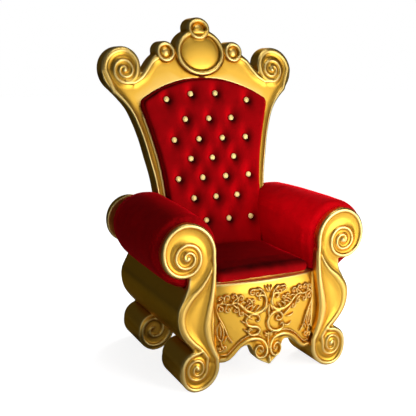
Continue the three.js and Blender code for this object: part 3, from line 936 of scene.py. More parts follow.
@dataclass
class SideFrames:
    """The two side frames: console scrolls, bellied bodies and foot rolls, in millimetres."""

    placing: Placing
    plate_front: float = 16
    plate_back: float = 45
    inner_x: float = 262
    seat_z: float = 492
    lobe_z: float = 205
    rear_y: float = 780
    plate_rear: float = 802
    front_foot_y: float = 240
    rear_foot_y: float = 555
    arm_eye: Point = (410, 641)
    foot_eye: Point = (363, 116)
    arm: tuple[float, ...] = (142, 157, 120, 91, 74, 71, 66, 54, 42, 34, 24, 14)
    foot: tuple[float, ...] = (112, 116, 83, 85)
    foot_coil: tuple[float, ...] = (56, 64, 56, 49, 35, 38, 27, 18)
    rear_coil: tuple[float, ...] = (96, 96, 74, 68, 54, 44, 32, 18)
    seat_side: tuple[Point, ...] = (
        (266, 600), (268, 500), (281, 400), (291, 310), (283, 240), (262, 180),
    )
    belly_side: tuple[Point, ...] = (
        (398, 560), (403, 505), (430, 450), (453, 400), (456, 345), (443, 290), (415, 245),
        (384, 208),
    )
    seat_rim: tuple[Station, ...] = (
        (264, 14, 150), (288, 17, 200), (305, 21, 250), (313, 23, 305), (304, 20, 375),
        (290, 15, 450), (281, 12, 530), (279, 12, 590),
    )
    belly_rim: tuple[Station, ...] = (
        (287, 4, 600), (303, 8, 556), (340, 13, 502), (395, 20, 450), (430, 21, 395),
        (435, 19, 340), (420, 17, 290), (385, 15, 243), (340, 12, 200), (312, 10, 160),
    )

    def _arm_volute(self) -> Volute:
        """The scroll at the arm."""
        return Volute(*self.arm_eye, self.arm, 180, -1, (13, 7))

    def _foot_volute(self, radii: tuple[float, ...] = (), widths: Pair = (12, 12)) -> Volute:
        """A scroll at the foot, the plain one unless it is given radii."""
        return Volute(*self.foot_eye, radii or self.foot, 180, 1, widths)

    def _console(self, front: float, back: float) -> list[Item]:
        """The boards of one console outline.

        Args:
            front: The y of the front faces, in millimetres.
            back: The y of the back faces, in millimetres.

        Returns:
            The boards.
        """
        down = [tuple(p) for p in smooth(self.seat_side, 10)]
        up = [tuple(p) for p in smooth(self.belly_side, 10)[::-1]]
        strap = [*down, (300, 120), (360, 120), *up, (400, 620), (300, 640)]
        outlines = (self._arm_volute().disc(), self._foot_volute().disc(), strap)
        return [Bench.board(outline, front, back) for outline in outlines]

    def _long_rim(self) -> list[Station]:
        """Leads a rim over the foot, up the strap's seat side and into the arm volute's eye.

        Returns:
            The rim's stations.
        """
        foot = self._foot_volute().stations()[::-1]
        strap = [tuple(row) for row in smooth(self.seat_rim, 14)]
        return [(336, 8, 197), *foot, *strap, *self._arm_volute().stations()]

    def _belly_rim(self) -> list[Station]:
        """From under the arm volute, round the belly and into the eye of the foot."""
        strap = [tuple(row) for row in smooth(self.belly_rim, 14)]
        return [*strap, *self._foot_volute(self.foot_coil, (10, 6)).stations()]

    def _body(self) -> list[Item]:
        """Carves the bellied body and the foot rolls under it.

        Returns:
            The pieces, not yet fused.
        """
        inner, top = self.inner_x, self.seat_z
        belly = [tuple(p) for p in smooth(self.belly_side, 10) if p[1] < top - 2]
        section = [(inner, top), (inner, self.lobe_z), *belly[::-1], (409, top)]
        foot = self._foot_volute().disc()
        return [
            Bench.board(section, self.plate_back - 5, self.rear_y),
            Bench.board(foot, self.plate_front, self.front_foot_y),
            Bench.board(foot, self.rear_foot_y, self.rear_y),
        ]

    def build(self, finishes: Finishes) -> None:
        """Carves the right side frame, mirrors it and dresses both.

        Args:
            finishes: The finishes that the pieces are dressed in.
        """
        flat: Surface = lambda x, z: self.plate_front
        foot_face: Surface = lambda x, z: self.rear_foot_y
        rear_face: Surface = lambda x, z: self.plate_rear
        rear_scroll = self._foot_volute(self.rear_coil, (9, 6)).stations()
        (arm_x, arm_z), (foot_x, foot_z) = self.arm_eye, self.foot_eye
        shapes = [
            *self._console(self.plate_front, self.plate_back),
            *self._body(),
            *self._console(self.rear_y - 4, self.plate_rear),
            Bench.rim(self._long_rim(), flat, 16),
            Bench.rim(self._belly_rim(), flat, 14),
            Bench.rim(rear_scroll, foot_face, 9),
            Bench.rim(self._long_rim(), rear_face, -9, sink=-5),
            Bench.rim(self._belly_rim(), rear_face, -8, sink=-5),
            Bench.dome(arm_x, self.plate_front, arm_z, (17, 15, 17)),
            Bench.dome(foot_x, self.plate_front, foot_z, (13, 13, 13)),
        ]
        right = Bench.join(shapes, "carved_side_frame_right")
        Bench.fuse(right, voxel=3.0, passes=2)
        snails = [(arm_x, arm_z, 78, 10), (foot_x, foot_z, 62, 8)]
        rims = [self._long_rim(), self._belly_rim()]
        Bench.soften_channels(right, rims, flat, height=6.5, reach=32, cones=snails)
        Bench.ease(right, passes=8, keep=0.45)
        rows = Bench.coordinates(right)
        rows[:, 2] = np.maximum(rows[:, 2], FOOT_FLAT)
        Bench.set_coordinates(right, rows)
        self.placing.put(right)
        left = Bench.mirrored(right, "carved_side_frame_left")
        finishes.dress(right, Slot.GOLD, "side_frame_right")
        finishes.dress(left, Slot.GOLD, "side_frame_left")


# ---- Apron ---------------------------------------------------------------------------------


@dataclass
class Apron:
    """The carved front panel, in millimetres."""

    placing: Placing
    half: float = 261.4
    edge_y: float = 42
    swell: float = 33
    thick: float = 26
    top_z: float = 490
    carving: float = 13
    columns: int = 330
    levels: int = 232
    hem_end: float = 209
    rounding: float = 7
    fade: float = 5
    groove: float = 1.8
    roll_back: float = 16
    roll_depth: float = 60
    hang: float = 24
    hem: tuple[Point, ...] = (
        (0, 79), (28, 92), (58, 112), (76, 150), (92, 177), (115, 180), (145, 166), (180, 134),
        (210, 112), (249, 110),
    )
    hem_band: tuple[Station, ...] = (
        (240, 10, 130), (208, 13, 131), (184, 14, 149), (154, 14, 181), (120, 13, 204),
        (88, 12, 213), (56, 11, 211), (27, 10, 197), (11, 9, 168), (13, 8, 138), (31, 8, 120),
        (55, 7, 122), (69, 7, 142), (66, 6, 165), (50, 6, 177), (33, 5, 170), (29, 5, 154),
        (38, 4, 146), (47, 4, 152),
    )
    hem_line: tuple[Station, ...] = (
        (238, 3, 153), (210, 4, 153), (190, 4, 170), (158, 4, 202), (124, 4, 225), (90, 4, 235),
        (60, 4, 233), (38, 3, 222),
    )
    stem: tuple[Station, ...] = (
        (259, 4.8, 384), (254, 6, 399), (238, 6, 404), (216, 6, 399), (194, 6, 396), (176, 6, 401),
        (160, 7.2, 398), (143, 8.4, 385), (128, 9.6, 370), (110, 9.6, 354), (86, 10.8, 343),
        (62, 10.8, 339), (38, 10.8, 346), (20, 9.6, 363), (12, 8.4, 385), (15, 7.2, 405),
        (28, 7.2, 420), (42, 6, 424), (52, 6, 416), (51, 4.8, 405), (43, 4.8, 402),
    )
    shoot: tuple[Station, ...] = (
        (20, 5, 372), (17, 6, 398), (22, 6, 426), (36, 6, 446), (54, 5, 456), (62, 3, 452),
    )
    right_lower: tuple[Station, ...] = (
        (66, 4, 263), (72, 5, 272), (82, 6, 266), (80, 7, 250), (60, 8, 238), (32, 10, 238),
        (6, 10, 256), (-3, 10, 285), (7, 9, 314), (34, 9, 331), (64, 8, 325), (78, 7, 306),
        (68, 6, 289), (50, 6, 289), (42, 5, 301), (50, 5, 311), (60, 4, 305),
    )
    left_lower: tuple[Station, ...] = (
        (-64, 4, 302), (-56, 5, 298), (-47, 6, 307), (-52, 7, 322), (-74, 8, 335), (-101, 9, 330),
        (-117, 9, 310), (-110, 9, 288), (-86, 9, 276), (-60, 9, 270), (-46, 8, 254), (-56, 8, 238),
        (-80, 8, 234), (-102, 7, 244), (-106, 6, 260), (-95, 5, 268), (-86, 4, 260),
    )
    side_stem: tuple[Station, ...] = (
        (256, 4, 396), (258, 5, 366), (246, 5, 334), (230, 5, 304), (216, 5, 272), (206, 4, 244),
        (196, 3, 224),
    )
    side_leaf: tuple[Station, ...] = (
        (242, 3, 312), (230, 5, 284), (226, 5, 252), (236, 5, 224), (252, 4, 238), (256, 4, 272),
        (246, 3, 308),
    )
    strokes: tuple[tuple[Station, ...], ...] = (
        ((242, 2, 296), (240, 6, 268), (240, 3, 240)),
        ((206, 2, 246), (216, 5, 232), (222, 2, 216)),
        ((196, 2, 232), (190, 5, 218), (182, 2, 208)), ((0, 2, 436), (0, 6, 452), (0, 2, 466)),
        ((4, 2, 434), (12, 5, 450), (18, 2, 464)),
        ((0, 3, 376), (0, 9, 352), (0, 7, 332), (0, 2, 316)),
        ((6, 2, 372), (14, 5, 356), (24, 2, 340)),
        ((0, 3, 240), (0, 7, 220), (0, 5, 196), (0, 3, 160)),
        ((3, 2, 226), (14, 4, 230), (20, 2, 240)), ((118, 2, 366), (104, 6, 376), (90, 2, 380)),
        ((96, 2, 354), (84, 6, 368), (70, 2, 378)), ((70, 2, 346), (60, 6, 362), (48, 2, 374)),
        ((150, 2, 392), (136, 5, 402), (120, 2, 398)), ((0, 3, 128), (0, 12, 108), (0, 4, 90)),
        ((84, 2, 312), (104, 6, 326), (126, 2, 346)), ((88, 2, 262), (108, 6, 255), (128, 2, 268)),
        ((100, 2, 300), (122, 5, 300), (140, 2, 310)),
    )
    curls: tuple[tuple[float, float, float, float, float, int], ...] = (
        (248, 403, 240, 424, 13, -1), (222, 400, 210, 428, 14, 1), (192, 397, 177, 429, 14, -1),
        (162, 400, 143, 421, 13, 1), (128, 374, 106, 402, 12, -1), (88, 350, 80, 398, 9, 1),
        (250, 396, 240, 376, 11, 1), (214, 396, 206, 371, 12, -1), (182, 394, 168, 366, 12, 1),
        (160, 388, 140, 347, 12, -1), (58, 454, 84, 441, 13, -1), (34, 444, 60, 432, 10, 1),
        (238, 216, 242, 184, 13, 1), (228, 170, 222, 188, 9, -1), (20, 240, 12, 226, 7, 1),
    )
    berries: tuple[tuple[float, float, float], ...] = (
        (240, 424, 5), (210, 428, 5.5), (177, 429, 5.5), (143, 421, 5), (106, 402, 4.5),
        (84, 441, 5.5), (140, 347, 6), (206, 371, 4.5), (168, 366, 4.5), (242, 184, 6.5),
        (44, 154, 6), (223, 414, 4.5), (192, 414, 4.5), (160, 412, 4.5), (228, 384, 4.5),
        (190, 382, 4.5),
    )

    def surface(self, x: float, z: float) -> float:
        """The y of the plain panel at x and z.

        Args:
            x: Across the panel, in millimetres.
            z: Up the panel, in millimetres.

        Returns:
            The y there, in millimetres.
        """
        across = math.cos(math.pi / 2 * min(1.0, abs(x) / self.half))
        up = min(max((self.top_z - z) / self.roll_depth, 0.0), 1.0)
        roll_back = self.roll_back * (1 - up) ** 2
        middle = max(0.0, 1 - abs(x) / 100)
        hang = (200 - z) / 120 * self.hang * middle if z < 200 else 0.0
        return self.edge_y - self.swell * max(across, 0.0) ** 0.6 + roll_back - hang

    def _strokes(self) -> list[tuple[Station, ...]]:
        """Gathers every carved stroke, with its twin on the other side where it has one.

        Returns:
            The stations of each stroke.
        """
        halves = [self.hem_band, self.hem_line, self.stem, self.shoot]
        halves += [self.side_stem, self.side_leaf]
        halves += [self._curl(*curl) for curl in self.curls] + list(self.strokes)
        paired = [path for path in halves if any(x for x, _, _ in path)]
        twins = [tuple((-x, w, z) for x, w, z in path) for path in paired]
        return [*halves, *twins, self.right_lower, self.left_lower]

    def _relief(self, xs: np.ndarray, zs: np.ndarray) -> np.ndarray:
        """How far the carving stands out.

        Args:
            xs: Places across, in millimetres.
            zs: Heights, in millimetres.

        Returns:
            The height of the carving at each place, in millimetres.
        """
        height = np.zeros(xs.shape)
        for path in self._strokes():
            rows = smooth(path, 9)
            reach = rows[:, 1].max() + 6
            box = (xs > rows[:, 0].min() - reach) & (xs < rows[:, 0].max() + reach)
            box &= (zs > rows[:, 2].min() - reach) & (zs < rows[:, 2].max() + reach)
            if not box.any():
                continue
            away = np.hypot(xs[box][:, None] - rows[:, 0], zs[box][:, None] - rows[:, 2])
            beyond = (away - rows[:, 1]).min(1)
            share = (away / rows[:, 1]).min(1)
            crest = self.carving * min(1.0, rows[:, 1].max() / 5)
            rise = crest * np.clip(1 - share**2.4, 0, 1) ** 0.7
            groove = self.groove * np.exp(-(((beyond - 1.6) / 1.7) ** 2))
            part = height[box]
            raised = np.maximum(part, rise) + 0.3 * np.minimum(np.maximum(part, 0), rise)
            beside = np.where(part > 0.5, part, np.minimum(part, -groove))
            height[box] = np.where(share < 1, raised, beside)
        for x, z, size in self.berries:
            for sign in (-1, 1):
                share = np.hypot(xs - sign * x, zs - z) / size
                bead = (self.carving + 2) * np.sqrt(np.clip(1 - share**2, 0, 1))
                height = np.maximum(height, bead)
        return height

    def _panel(self) -> Item:
        """Shapes the swelling panel with its scalloped hem and its carving.

        Returns:
            The panel.
        """
        half = smooth(self.hem, 12)
        xs = np.linspace(-self.half, self.half, self.columns)
        low = np.interp(np.abs(xs), [*half[:, 0], self.half], [*half[:, 1], self.hem_end])
        share = np.linspace(0, 1, self.levels)
        zs = low[:, None] + (self.top_z - low[:, None]) * share
        across = np.repeat(xs[:, None], len(share), 1)
        ground = np.vectorize(self.surface)(across, zs)
        rise = self._relief(across.ravel(), zs.ravel()).reshape(zs.shape)
        edge = np.minimum(zs - low[:, None], self.top_z - zs)
        lip = 1 - np.clip(edge / self.rounding, 0, 1)
        rounding = self.rounding * (1 - np.sqrt(np.clip(1 - lip**2, 0, 1)))
        front = ground - rise * np.clip(edge / self.fade, 0, 1) + rounding
        back = self.edge_y + self.thick
        rings = []
        for x, row_y, row_z in zip(xs, front, zs):
            ring = [(x * MM, y * MM, z * MM) for y, z in zip(row_y, row_z)]
            ring += [(x * MM, back * MM, z * MM) for z in np.linspace(row_z[-1], row_z[0], 12)]
            rings.append(ring)
        return Bench.from_rings(rings)

    @staticmethod
    def _curl(
        from_x: float, from_z: float, x: float, z: float, size: float, turn: int
    ) -> tuple[Station, ...]:
        """A tendril that leaves a stem and curls up.

        Args:
            from_x: Where it leaves the stem, across.
            from_z: Where it leaves the stem, in height.
            x: Centre of its curl, across.
            z: Centre of its curl, in height.
            size: Radius of the curl.
            turn: 1 to curl anticlockwise, -1 clockwise.

        Returns:
            Its stations.
        """
        start = math.atan2(from_z - z, from_x - x) + turn * 0.6
        rows: list[Station] = [(from_x, 3.0, from_z)]
        for k in range(7):
            reach = size * (1.12 - 0.09 * k)
            angle = start + turn * k * math.radians(52)
            rows.append((x + reach * math.cos(angle), 5.4 - 0.3 * k, z + reach * math.sin(angle)))
        return tuple(rows)

    def build(self, finishes: Finishes) -> None:
        """Carves and dresses the apron.

        Args:
            finishes: The finishes that the pieces are dressed in.
        """
        apron = Bench.join([self._panel()], "carved_apron")
        Bench.apply(apron, "SMOOTH", factor=0.4, iterations=1)
        Bench.round_shading(apron)
        # The relief sets the apron's painted shade in hollows and painted highlight on crests.
        Bench.mark_relief(apron, passes=50, scale=4.4)
        self.placing.put(apron)
        finishes.dress(apron, Slot.GOLD, "apron")


# ---- Back ----------------------------------------------------------------------------------


@dataclass
class BackFrame:
    """The reclined back with its crest, drawn upright in millimetres."""

    placing: Placing
    depth: float = 95
    sink: float = 12
    seat_z: float = 492.4
    edge: tuple[Point, ...] = (
        (290, 493), (303, 700), (311, 800), (322, 900), (343, 1000), (365, 1100), (398, 1200),
        (421, 1250), (459, 1300), (505, 1350),
    )
    crest: tuple[Point, ...] = (
        (345, 1428), (318, 1456), (283, 1500), (245, 1530), (150, 1560), (0, 1600),
    )
    side_rim: tuple[Station, ...] = (
        (283, 6, 494), (296, 6, 700), (304, 6, 800), (315, 7, 900), (335, 7, 1000), (357, 7, 1100),
        (389, 8, 1200), (412, 9, 1250), (448, 11, 1300), (492, 14, 1345),
    )
    crest_rim: tuple[Station, ...] = (
        (238, 13, 1512), (272, 14, 1491), (303, 14, 1452), (335, 14, 1415), (380, 13, 1386),
    )
    corner_outline: tuple[float, ...] = (86, 118, 120, 126)
    corner_turn: tuple[float, ...] = (120, 118, 86, 76)
    corner_coil: tuple[float, ...] = (76, 66, 60, 54, 44, 36, 26, 15)
    pad_edge: tuple[Point, ...] = (
        (0, 1405), (120, 1393), (240, 1356), (322, 1314), (351, 1294), (356, 1272), (337, 1200),
        (310, 1100), (287, 1000), (273, 900), (265, 800), (256, 700), (249, 600), (248, 496),
    )
    pocket: float = 30
    band: float = 9
    band_ends: Pair = (520, 1262)
    fit: float = 0.6
    corner: Point = (430, 1448)
    rings: tuple[tuple[float, ...], ...] = (
        (0, 1538, 142, 124, 16, 112, 4), (0, 1661, 66, 59, 14, 30, 7),
    )

    def face(self, x: float, z: float) -> float:
        """The plain face lies one sink behind the rims."""
        return self.sink

    def pad_outline(self, grow: float) -> list[Point]:
        """The outline of the padded back.

        Args:
            grow: How far the outline is moved out, in millimetres.

        Returns:
            Its points, from the middle of the arch round to the left.
        """
        half = smooth(self.pad_edge, 8)
        along = np.gradient(half, axis=0)
        along /= np.linalg.norm(along, axis=1, keepdims=True)
        moved = half + grow * np.stack([-along[:, 1], along[:, 0]], 1)
        moved[0] = (0, half[0, 1] + grow)
        moved[-1, 1] = half[-1, 1]
        right = [tuple(p) for p in moved]
        return right + [(-x, z) for x, z in right[:0:-1]]

    def _panel(self) -> list[Point]:
        """Outlines the panel without its volutes and rings.

        Returns:
            The outline's points, in millimetres.
        """
        edge = [tuple(p) for p in smooth(self.edge, 12)]
        crest = [tuple(p) for p in smooth(self.crest, 12)]
        right = [*edge, (430, 1400), *crest]
        return right + [(-x, z) for x, z in right[-2::-1]]

    def _corner_rims(self, side: Side) -> list[list[Station]]:
        """Draws the rims of a side rail and of the crest, with the turns that they end in.

        Args:
            side: Which side of the back.

        Returns:
            The stations of each rim.
        """
        around = Volute(*self.corner, self.corner_turn, 0, 1, (18, 15)).stations()
        coil = Volute(*self.corner, self.corner_coil, 270, 1, (12, 7)).stations()
        joint = smooth([self.side_rim[-1], around[0]], 10)
        rail = [*smooth(self.side_rim, 14), *joint[1:], *around[1:]]
        crest = [*smooth(self.crest_rim, 14), *coil]
        return [[(side.value * x, w, z) for x, w, z in rows] for rows in (rail, crest)]

    def _corner(self, side: Side) -> list[Item]:
        """Carves a corner volute with the two rims that wind round it.

        Args:
            side: Which side of the back.

        Returns:
            The pieces, not yet fused.
        """
        outline = Volute(*self.corner, self.corner_outline, 180, -1, (0, 0)).disc()
        return [
            Bench.board([(side.value * x, z) for x, z in outline], self.sink, self.depth),
            *[Bench.rim(rows, self.face, self.sink) for rows in self._corner_rims(side)],
            Bench.dome(side.value * self.corner[0], self.sink, self.corner[1], (16, 12, 16)),
        ]

    def _ring(
        self, x: float, z: float, wide: float, high: float, rim: float, dome: float, stand: float
    ) -> list[Item]:
        """A ring with a domed middle.

        Args:
            x: Centre across.
            z: Centre height.
            wide: Outer radius in x.
            high: Outer radius in z.
            rim: Half width of the ring.
            dome: Radius of the dome in x.
            stand: How far the ring stands in front of the plain face.

        Returns:
            Its shapes.
        """
        angles = np.linspace(0, 2 * math.pi, 96, endpoint=False)
        turns = [(math.cos(a), math.sin(a)) for a in angles]
        outline = [(x + wide * c, z + high * s) for c, s in turns]
        path = [(x + (wide - rim) * c, rim, z + (high - rim) * s) for c, s in turns]
        level = self.sink - stand
        return [
            Bench.board(outline, level, self.depth),
            Bench.rim(path, lambda px, pz: level, self.sink + 6, closed=True),
            Bench.dome(x, level, z, (dome, 12, high * dome / wide)),
        ]

    def _band(self) -> list[Item]:
        """Raises the bands that frame the pad's sides.

        Returns:
            The bands.
        """
        ring = [(x, z) for x, z in self.pad_outline(self.band)]
        half = []
        low, high = self.band_ends
        for x, z in ring[: len(ring) // 2 + 1]:
            if low < z < high:
                rise = min(max((high - z) / 60, 0.3), 1.0)
                half.append((x, self.band * rise, z))
        other = [(-x, width, z) for x, width, z in half[::-1]]
        return [Bench.rim(other, self.face, 9), Bench.rim(half, self.face, 9)]

    def _rear_border(self) -> Item:
        """A half-round border on the plain rear face."""
        rows = [(x, 9.0, z) for x, z in self.pad_outline(16) if z > 548]
        return Bench.rim(rows, lambda x, z: self.depth, -6, closed=True, sink=-5)

    def build(self, finishes: Finishes) -> None:
        """Carves and dresses the back frame.

        Args:
            finishes: The finishes that the pieces are dressed in.
        """
        panel = Bench.board(self._panel(), self.sink, self.depth)
        Bench.cut(panel, Bench.board(self.pad_outline(self.fit), -60, self.pocket + self.fit))
        shapes = [panel, *self._band(), self._rear_border()]
        for side in Side:
            shapes += self._corner(side)
            shapes += self._ring(side.value * 197, 1540, 55, 55, 13, 27, 0)
        for ring in self.rings:
            shapes += self._ring(*ring)
        frame = Bench.join(shapes, "carved_back_frame")
        Bench.fuse(frame, voxel=3.0, passes=2)
        rims = [rows for side in Side for rows in self._corner_rims(side)]
        snails = [(side.value * self.corner[0], self.corner[1], 80, 10) for side in Side]
        Bench.soften_channels(frame, rims, self.face, height=6, reach=26, cones=snails)
        Bench.ease(frame, passes=6, keep=0.35)
        Placing.recline(frame)
        self.placing.put(frame)
        finishes.dress(frame, Slot.GOLD, "back_frame")


@dataclass
class Buttons:
    """Pale gold buttons in rows down the back, in millimetres."""

    placing: Placing
    radius: float = 14.5
    base: float = 4
    crown: float = 26.5
    crown_steps: tuple[Pair, ...] = ((1.6, 1.6), (3.0, 1.7), (4.0, 1.0), (3.4, 0.3))
    rows: tuple[tuple[tuple[float, ...], tuple[float, ...]], ...] = (
        ((-230, -92, 50, 234), (1299, 1324, 1325, 1287)), ((-135, 0, 131), (1196, 1196, 1196)),
        ((-207, -68, 69, 208), (1093, 1093, 1093, 1093)), ((-124, 0, 126), (994, 994, 994)),
        ((-204, -66, 68, 205), (895, 895, 895, 895)), ((-127, 0, 125), (793, 793, 793)),
        ((-201, -68, 64, 196), (675, 675, 675, 675)),
    )

    def places(self) -> list[Point]:
        """The x and z of each button, row by row."""
        return [place for xs, zs in self.rows for place in zip(xs, zs)]

    def _master(self) -> Item:
        """Makes one button with a rolled edge and a domed crown, facing up the z axis.

        Returns:
            The button.
        """
        base = {"vertices": 32, "radius": self.radius * MM, "depth": self.base * MM}
        middle = (0, 0, self.base / 2 * MM)
        made = Bench.start(bpy.ops.mesh.primitive_cylinder_add, location=middle, **base)
        with Bench.editing(made, "DESELECT"):
            Bench.pick(made, lambda face: face.normal.z > 0.9)
            for inset, rise in self.crown_steps:
                Bench.step(inset, (0, 0, rise))
        Bench.bevel(made, 0.8, segments=2, degrees=40)
        Bench.apply(made, "SUBSURF", levels=1, render_levels=1)
        Bench.round_shading(made)
        return made

    def build(self, finishes: Finishes) -> None:
        """Makes one button, copies it to each place and dresses the copies.

        Args:
            finishes: The finishes that the pieces are dressed in.
        """
        master = self._master()
        normal = Vector((0, -1, BACK_LEAN)).normalized()
        turn = Vector((0, 0, 1)).rotation_difference(normal).to_matrix().to_4x4()
        for number, (x, z) in enumerate(self.places(), 1):
            node = f"button_{number:02d}"
            copy = Bench.link(f"domed_{node}", master.data.copy())
            y = BACK_FRONT_Y + BACK_LEAN * (z * MM - 1.0) - self.crown * MM
            copy.data.transform(Matrix.Translation((x * MM, y, z * MM)) @ turn)
            self.placing.put(copy)
            finishes.dress(copy, Slot.BUTTON, node)
        bpy.data.objects.remove(master)


# ---- Soft parts ----------------------------------------------------------------------------


@dataclass
class Upholstery:
    """Velvet pads: the tufted back, the seat cushion and the arm rolls, in millimetres."""

    placing: Placing
    back: BackFrame
    buttons: Buttons
    seat_z: float = 492.4
    plate_back: float = 45.4
    puff: float = 38
    dimple: Pair = (13, 17)
    bowl: tuple[float, ...] = (17, 30, 44, 7)
    pleat: Pair = (3, 17)
    pleat_drop: Pair = (70, 135)
    pleat_reach: Pair = (40, 115)
    front_section: tuple[float, ...] = (401, 665, 165, 424)
    rear_section: tuple[float, ...] = (361, 657, 149, 402)
    roll_length: float = 730.1
    low_x: float = 250.5
    low_z: float = 568
    high_x: float = 240
    high_z: float = 620
    tuck_z: float = 503
    arc_end: float = -1.12
    roll_front: tuple[Triple, ...] = (
        (0, 24, 0), (3, 15, 0), (8, 9, 0), (15, 4.5, 0), (24, 2, 0), (40, 0, 1),
    )
    swells: tuple[Pair, ...] = (
        (0.2, 8), (0.35, 13), (0.5, 18), (0.65, 21), (0.77, 22), (0.85, 16), (0.91, 8),
    )
    roll_rear: tuple[Pair, ...] = ((30, 4), (14, 11), (5, 19), (0, 30))
    post_pad: float = 271
    post_edges: tuple[Pair, ...] = ((400.0, 291.5), (900.0, 323.5))
    seat_depth: Pair = (34, 498)
    seat_height: float = 54
    crown: float = 7
    play: float = 0.8

    SETTLED = 20  # the frame that the cloth is taken at

    @staticmethod
    def _plump(item: Item, pressure: float, cap: float) -> None:
        """Inflates a closed mesh as cloth and keeps the result.

        Args:
            item: The closed mesh, already remeshed.
            pressure: Pressure inside it.
            cap: The most that a point may move, in millimetres.
        """
        before = Bench.coordinates(item)
        Bench.only(item)
        cloth = item.modifiers.new("cloth", "CLOTH")
        fabric = cloth.settings
        fabric.use_pressure = True
        fabric.uniform_pressure_force = pressure
        fabric.effector_weights.gravity = 0
        fabric.quality = 5
        fabric.tension_stiffness = 15
        fabric.bending_stiffness = 0.6
        scene = bpy.context.scene
        for frame in range(1, Upholstery.SETTLED + 1):
            scene.frame_set(frame)
        bpy.ops.object.modifier_apply(modifier=cloth.name)
        scene.frame_set(1)
        move = Bench.coordinates(item) - before
        length = np.linalg.norm(move, axis=1, keepdims=True)
        move *= np.minimum(1.0, cap * MM / np.maximum(length, TINY))
        Bench.set_coordinates(item, before + move)

    def _tuft(self, rows: np.ndarray) -> np.ndarray:
        """How deep the tufting draws the pad in.

        Args:
            rows: Vertices in metres, drawn upright.

        Returns:
            Depth at each vertex, in millimetres.
        """
        flat = rows[:, [0, 2]] / MM
        places = np.array(self.buttons.places())
        across, up = (flat[:, None, axis] - places[None, :, axis] for axis in (0, 1))
        depth, reach = self.dimple
        core = depth * np.exp(-((np.hypot(across, up) / reach) ** 2)).max(1)
        depth, wide, high, lift = self.bowl
        bowl = depth * np.exp(-((across / wide) ** 2) - ((up - lift) / high) ** 2).max(1)
        depth = core + bowl
        bite, reach = self.pleat
        for a, start in enumerate(places):
            for end in places[a + 1 :]:
                step = end - start
                below = self.pleat_drop[0] < -step[1] < self.pleat_drop[1]
                if not (below and self.pleat_reach[0] < abs(step[0]) < self.pleat_reach[1]):
                    continue  # only neighbours in the next row share a pleat
                share = np.clip(((flat - start) @ step) / (step @ step), 0, 1)
                off = np.linalg.norm(flat - start - share[:, None] * step, axis=1)
                fold = (bite - 2 * np.sin(math.pi * share)) * np.exp(-((off / reach) ** 2))
                depth = np.maximum(depth, fold + depth * 0.7)
        return depth

    def _back_pad(self, finishes: Finishes) -> None:
        """Makes and dresses the tufted back pad.

        Args:
            finishes: The finishes that the pieces are dressed in.
        """
        outline, behind = self.back.pad_outline(-self.play), self.back.pocket - self.play
        pad = Bench.board(outline, -self.puff, behind)
        pad.name = pad.data.name = "tufted_back_pad"
        Bench.bevel(pad, 22, segments=6, degrees=50)
        Bench.fuse(pad, voxel=4.5, passes=8)
        rows = Bench.coordinates(pad)
        front = np.clip((-rows[:, 1] / MM) / 20, 0, 1)
        # Where the pad's front is flat, its painted light and shade show most.
        flat = np.clip((-rows[:, 1] / MM - self.puff + 14) / 12, 0, 1)
        rows[:, 1] += self._tuft(rows) * front * MM
        Bench.set_coordinates(pad, rows)
        Bench.apply(pad, "SMOOTH", factor=0.5, iterations=2)
        # Painted light and shade: the pad is lighter where it faces down and to the right, darker
        # where it faces up and to the left.
        Bench.mark_facing_shade(pad, (0.66, 0.0, -0.75), 0.1 + 1.6 * flat)
        Placing.recline(pad)
        self.placing.put(pad)
        finishes.dress(pad, Slot.VELVET, "back_pad")

    def _section(self, share: float, inset: float, swell: float) -> list[Triple]:
        """One section of an arm roll.

        Args:
            share: 0 at the front and 1 at the rear.
            inset: How far the section is drawn in.
            swell: How much fuller its round is.

        Returns:
            Its points in metres.
        """
        ends = zip(self.front_section, self.rear_section)
        x, z, radius, tip = (front + (rear - front) * share for front, rear in ends)
        radius, tip, z = radius - inset + swell, tip - inset, z + 0.3 * swell
        y = self.plate_back + self.roll_length * share
        high, low = self.high_x + inset, self.low_x + inset
        start = math.pi - math.acos(min(1.0, (x - high) / radius))
        turns = np.linspace(start, self.arc_end, 48)
        arc = [(x + radius * math.cos(a), z + radius * math.sin(a)) for a in turns]
        outline = [(low, self.seat_z), (low, self.low_z), (high, self.high_z), *arc]
        outline += [(tip + 20, self.tuck_z), (tip, self.seat_z)]
        return [(px * MM, y * MM, pz * MM) for px, pz in outline]

    def _arm_roll(self, finishes: Finishes) -> None:
        """Makes and dresses the arm rolls.

        Args:
            finishes: The finishes that the pieces are dressed in.
        """
        length = self.roll_length
        stations = [*self.roll_front]
        stations += [(share * length, 0, swell) for share, swell in self.swells]
        stations += [(length - short, inset, 0) for short, inset in self.roll_rear]
        sections = [self._section(y / length, inset + 3, swell) for y, inset, swell in stations]
        roll = Bench.from_rings(sections)
        roll.name = roll.data.name = "velvet_arm_roll_right"
        Bench.fuse(roll, voxel=6.0, passes=4)
        self._plump(roll, pressure=3.5, cap=5)
        Bench.cut(roll, self._post())
        Bench.round_shading(roll, 50)
        # Painted light and shade: the roll is darker on top and lighter where it faces down or
        # towards the seat.
        Bench.mark_facing_shade(roll, (-0.2, 0.0, -0.4), 0.3)
        self.placing.put(roll)
        other = Bench.mirrored(roll, "velvet_arm_roll_left")
        for piece, node in ((roll, "arm_roll_right"), (other, "arm_roll_left")):
            finishes.dress(piece, Slot.VELVET, node)

    def _post(self) -> Item:
        """Fills the room that the back and its pad take between the arm rolls.

        Returns:
            The body that the arm rolls are cut by.
        """
        rings, pad = [], self.post_pad
        for z, edge in self.post_edges:
            front = (BACK_FRONT_Y + BACK_LEAN * (z * MM - 1.0)) / MM
            right = [(pad, -28), (pad, -1), (edge, -1), (edge, 96)]
            outline = [(-pad, -28), *right, *[(-x, y) for x, y in right[:0:-1]]]
            rings.append([(x * MM, (front + y) * MM, z * MM) for x, y in outline])
        return Bench.from_rings(rings)

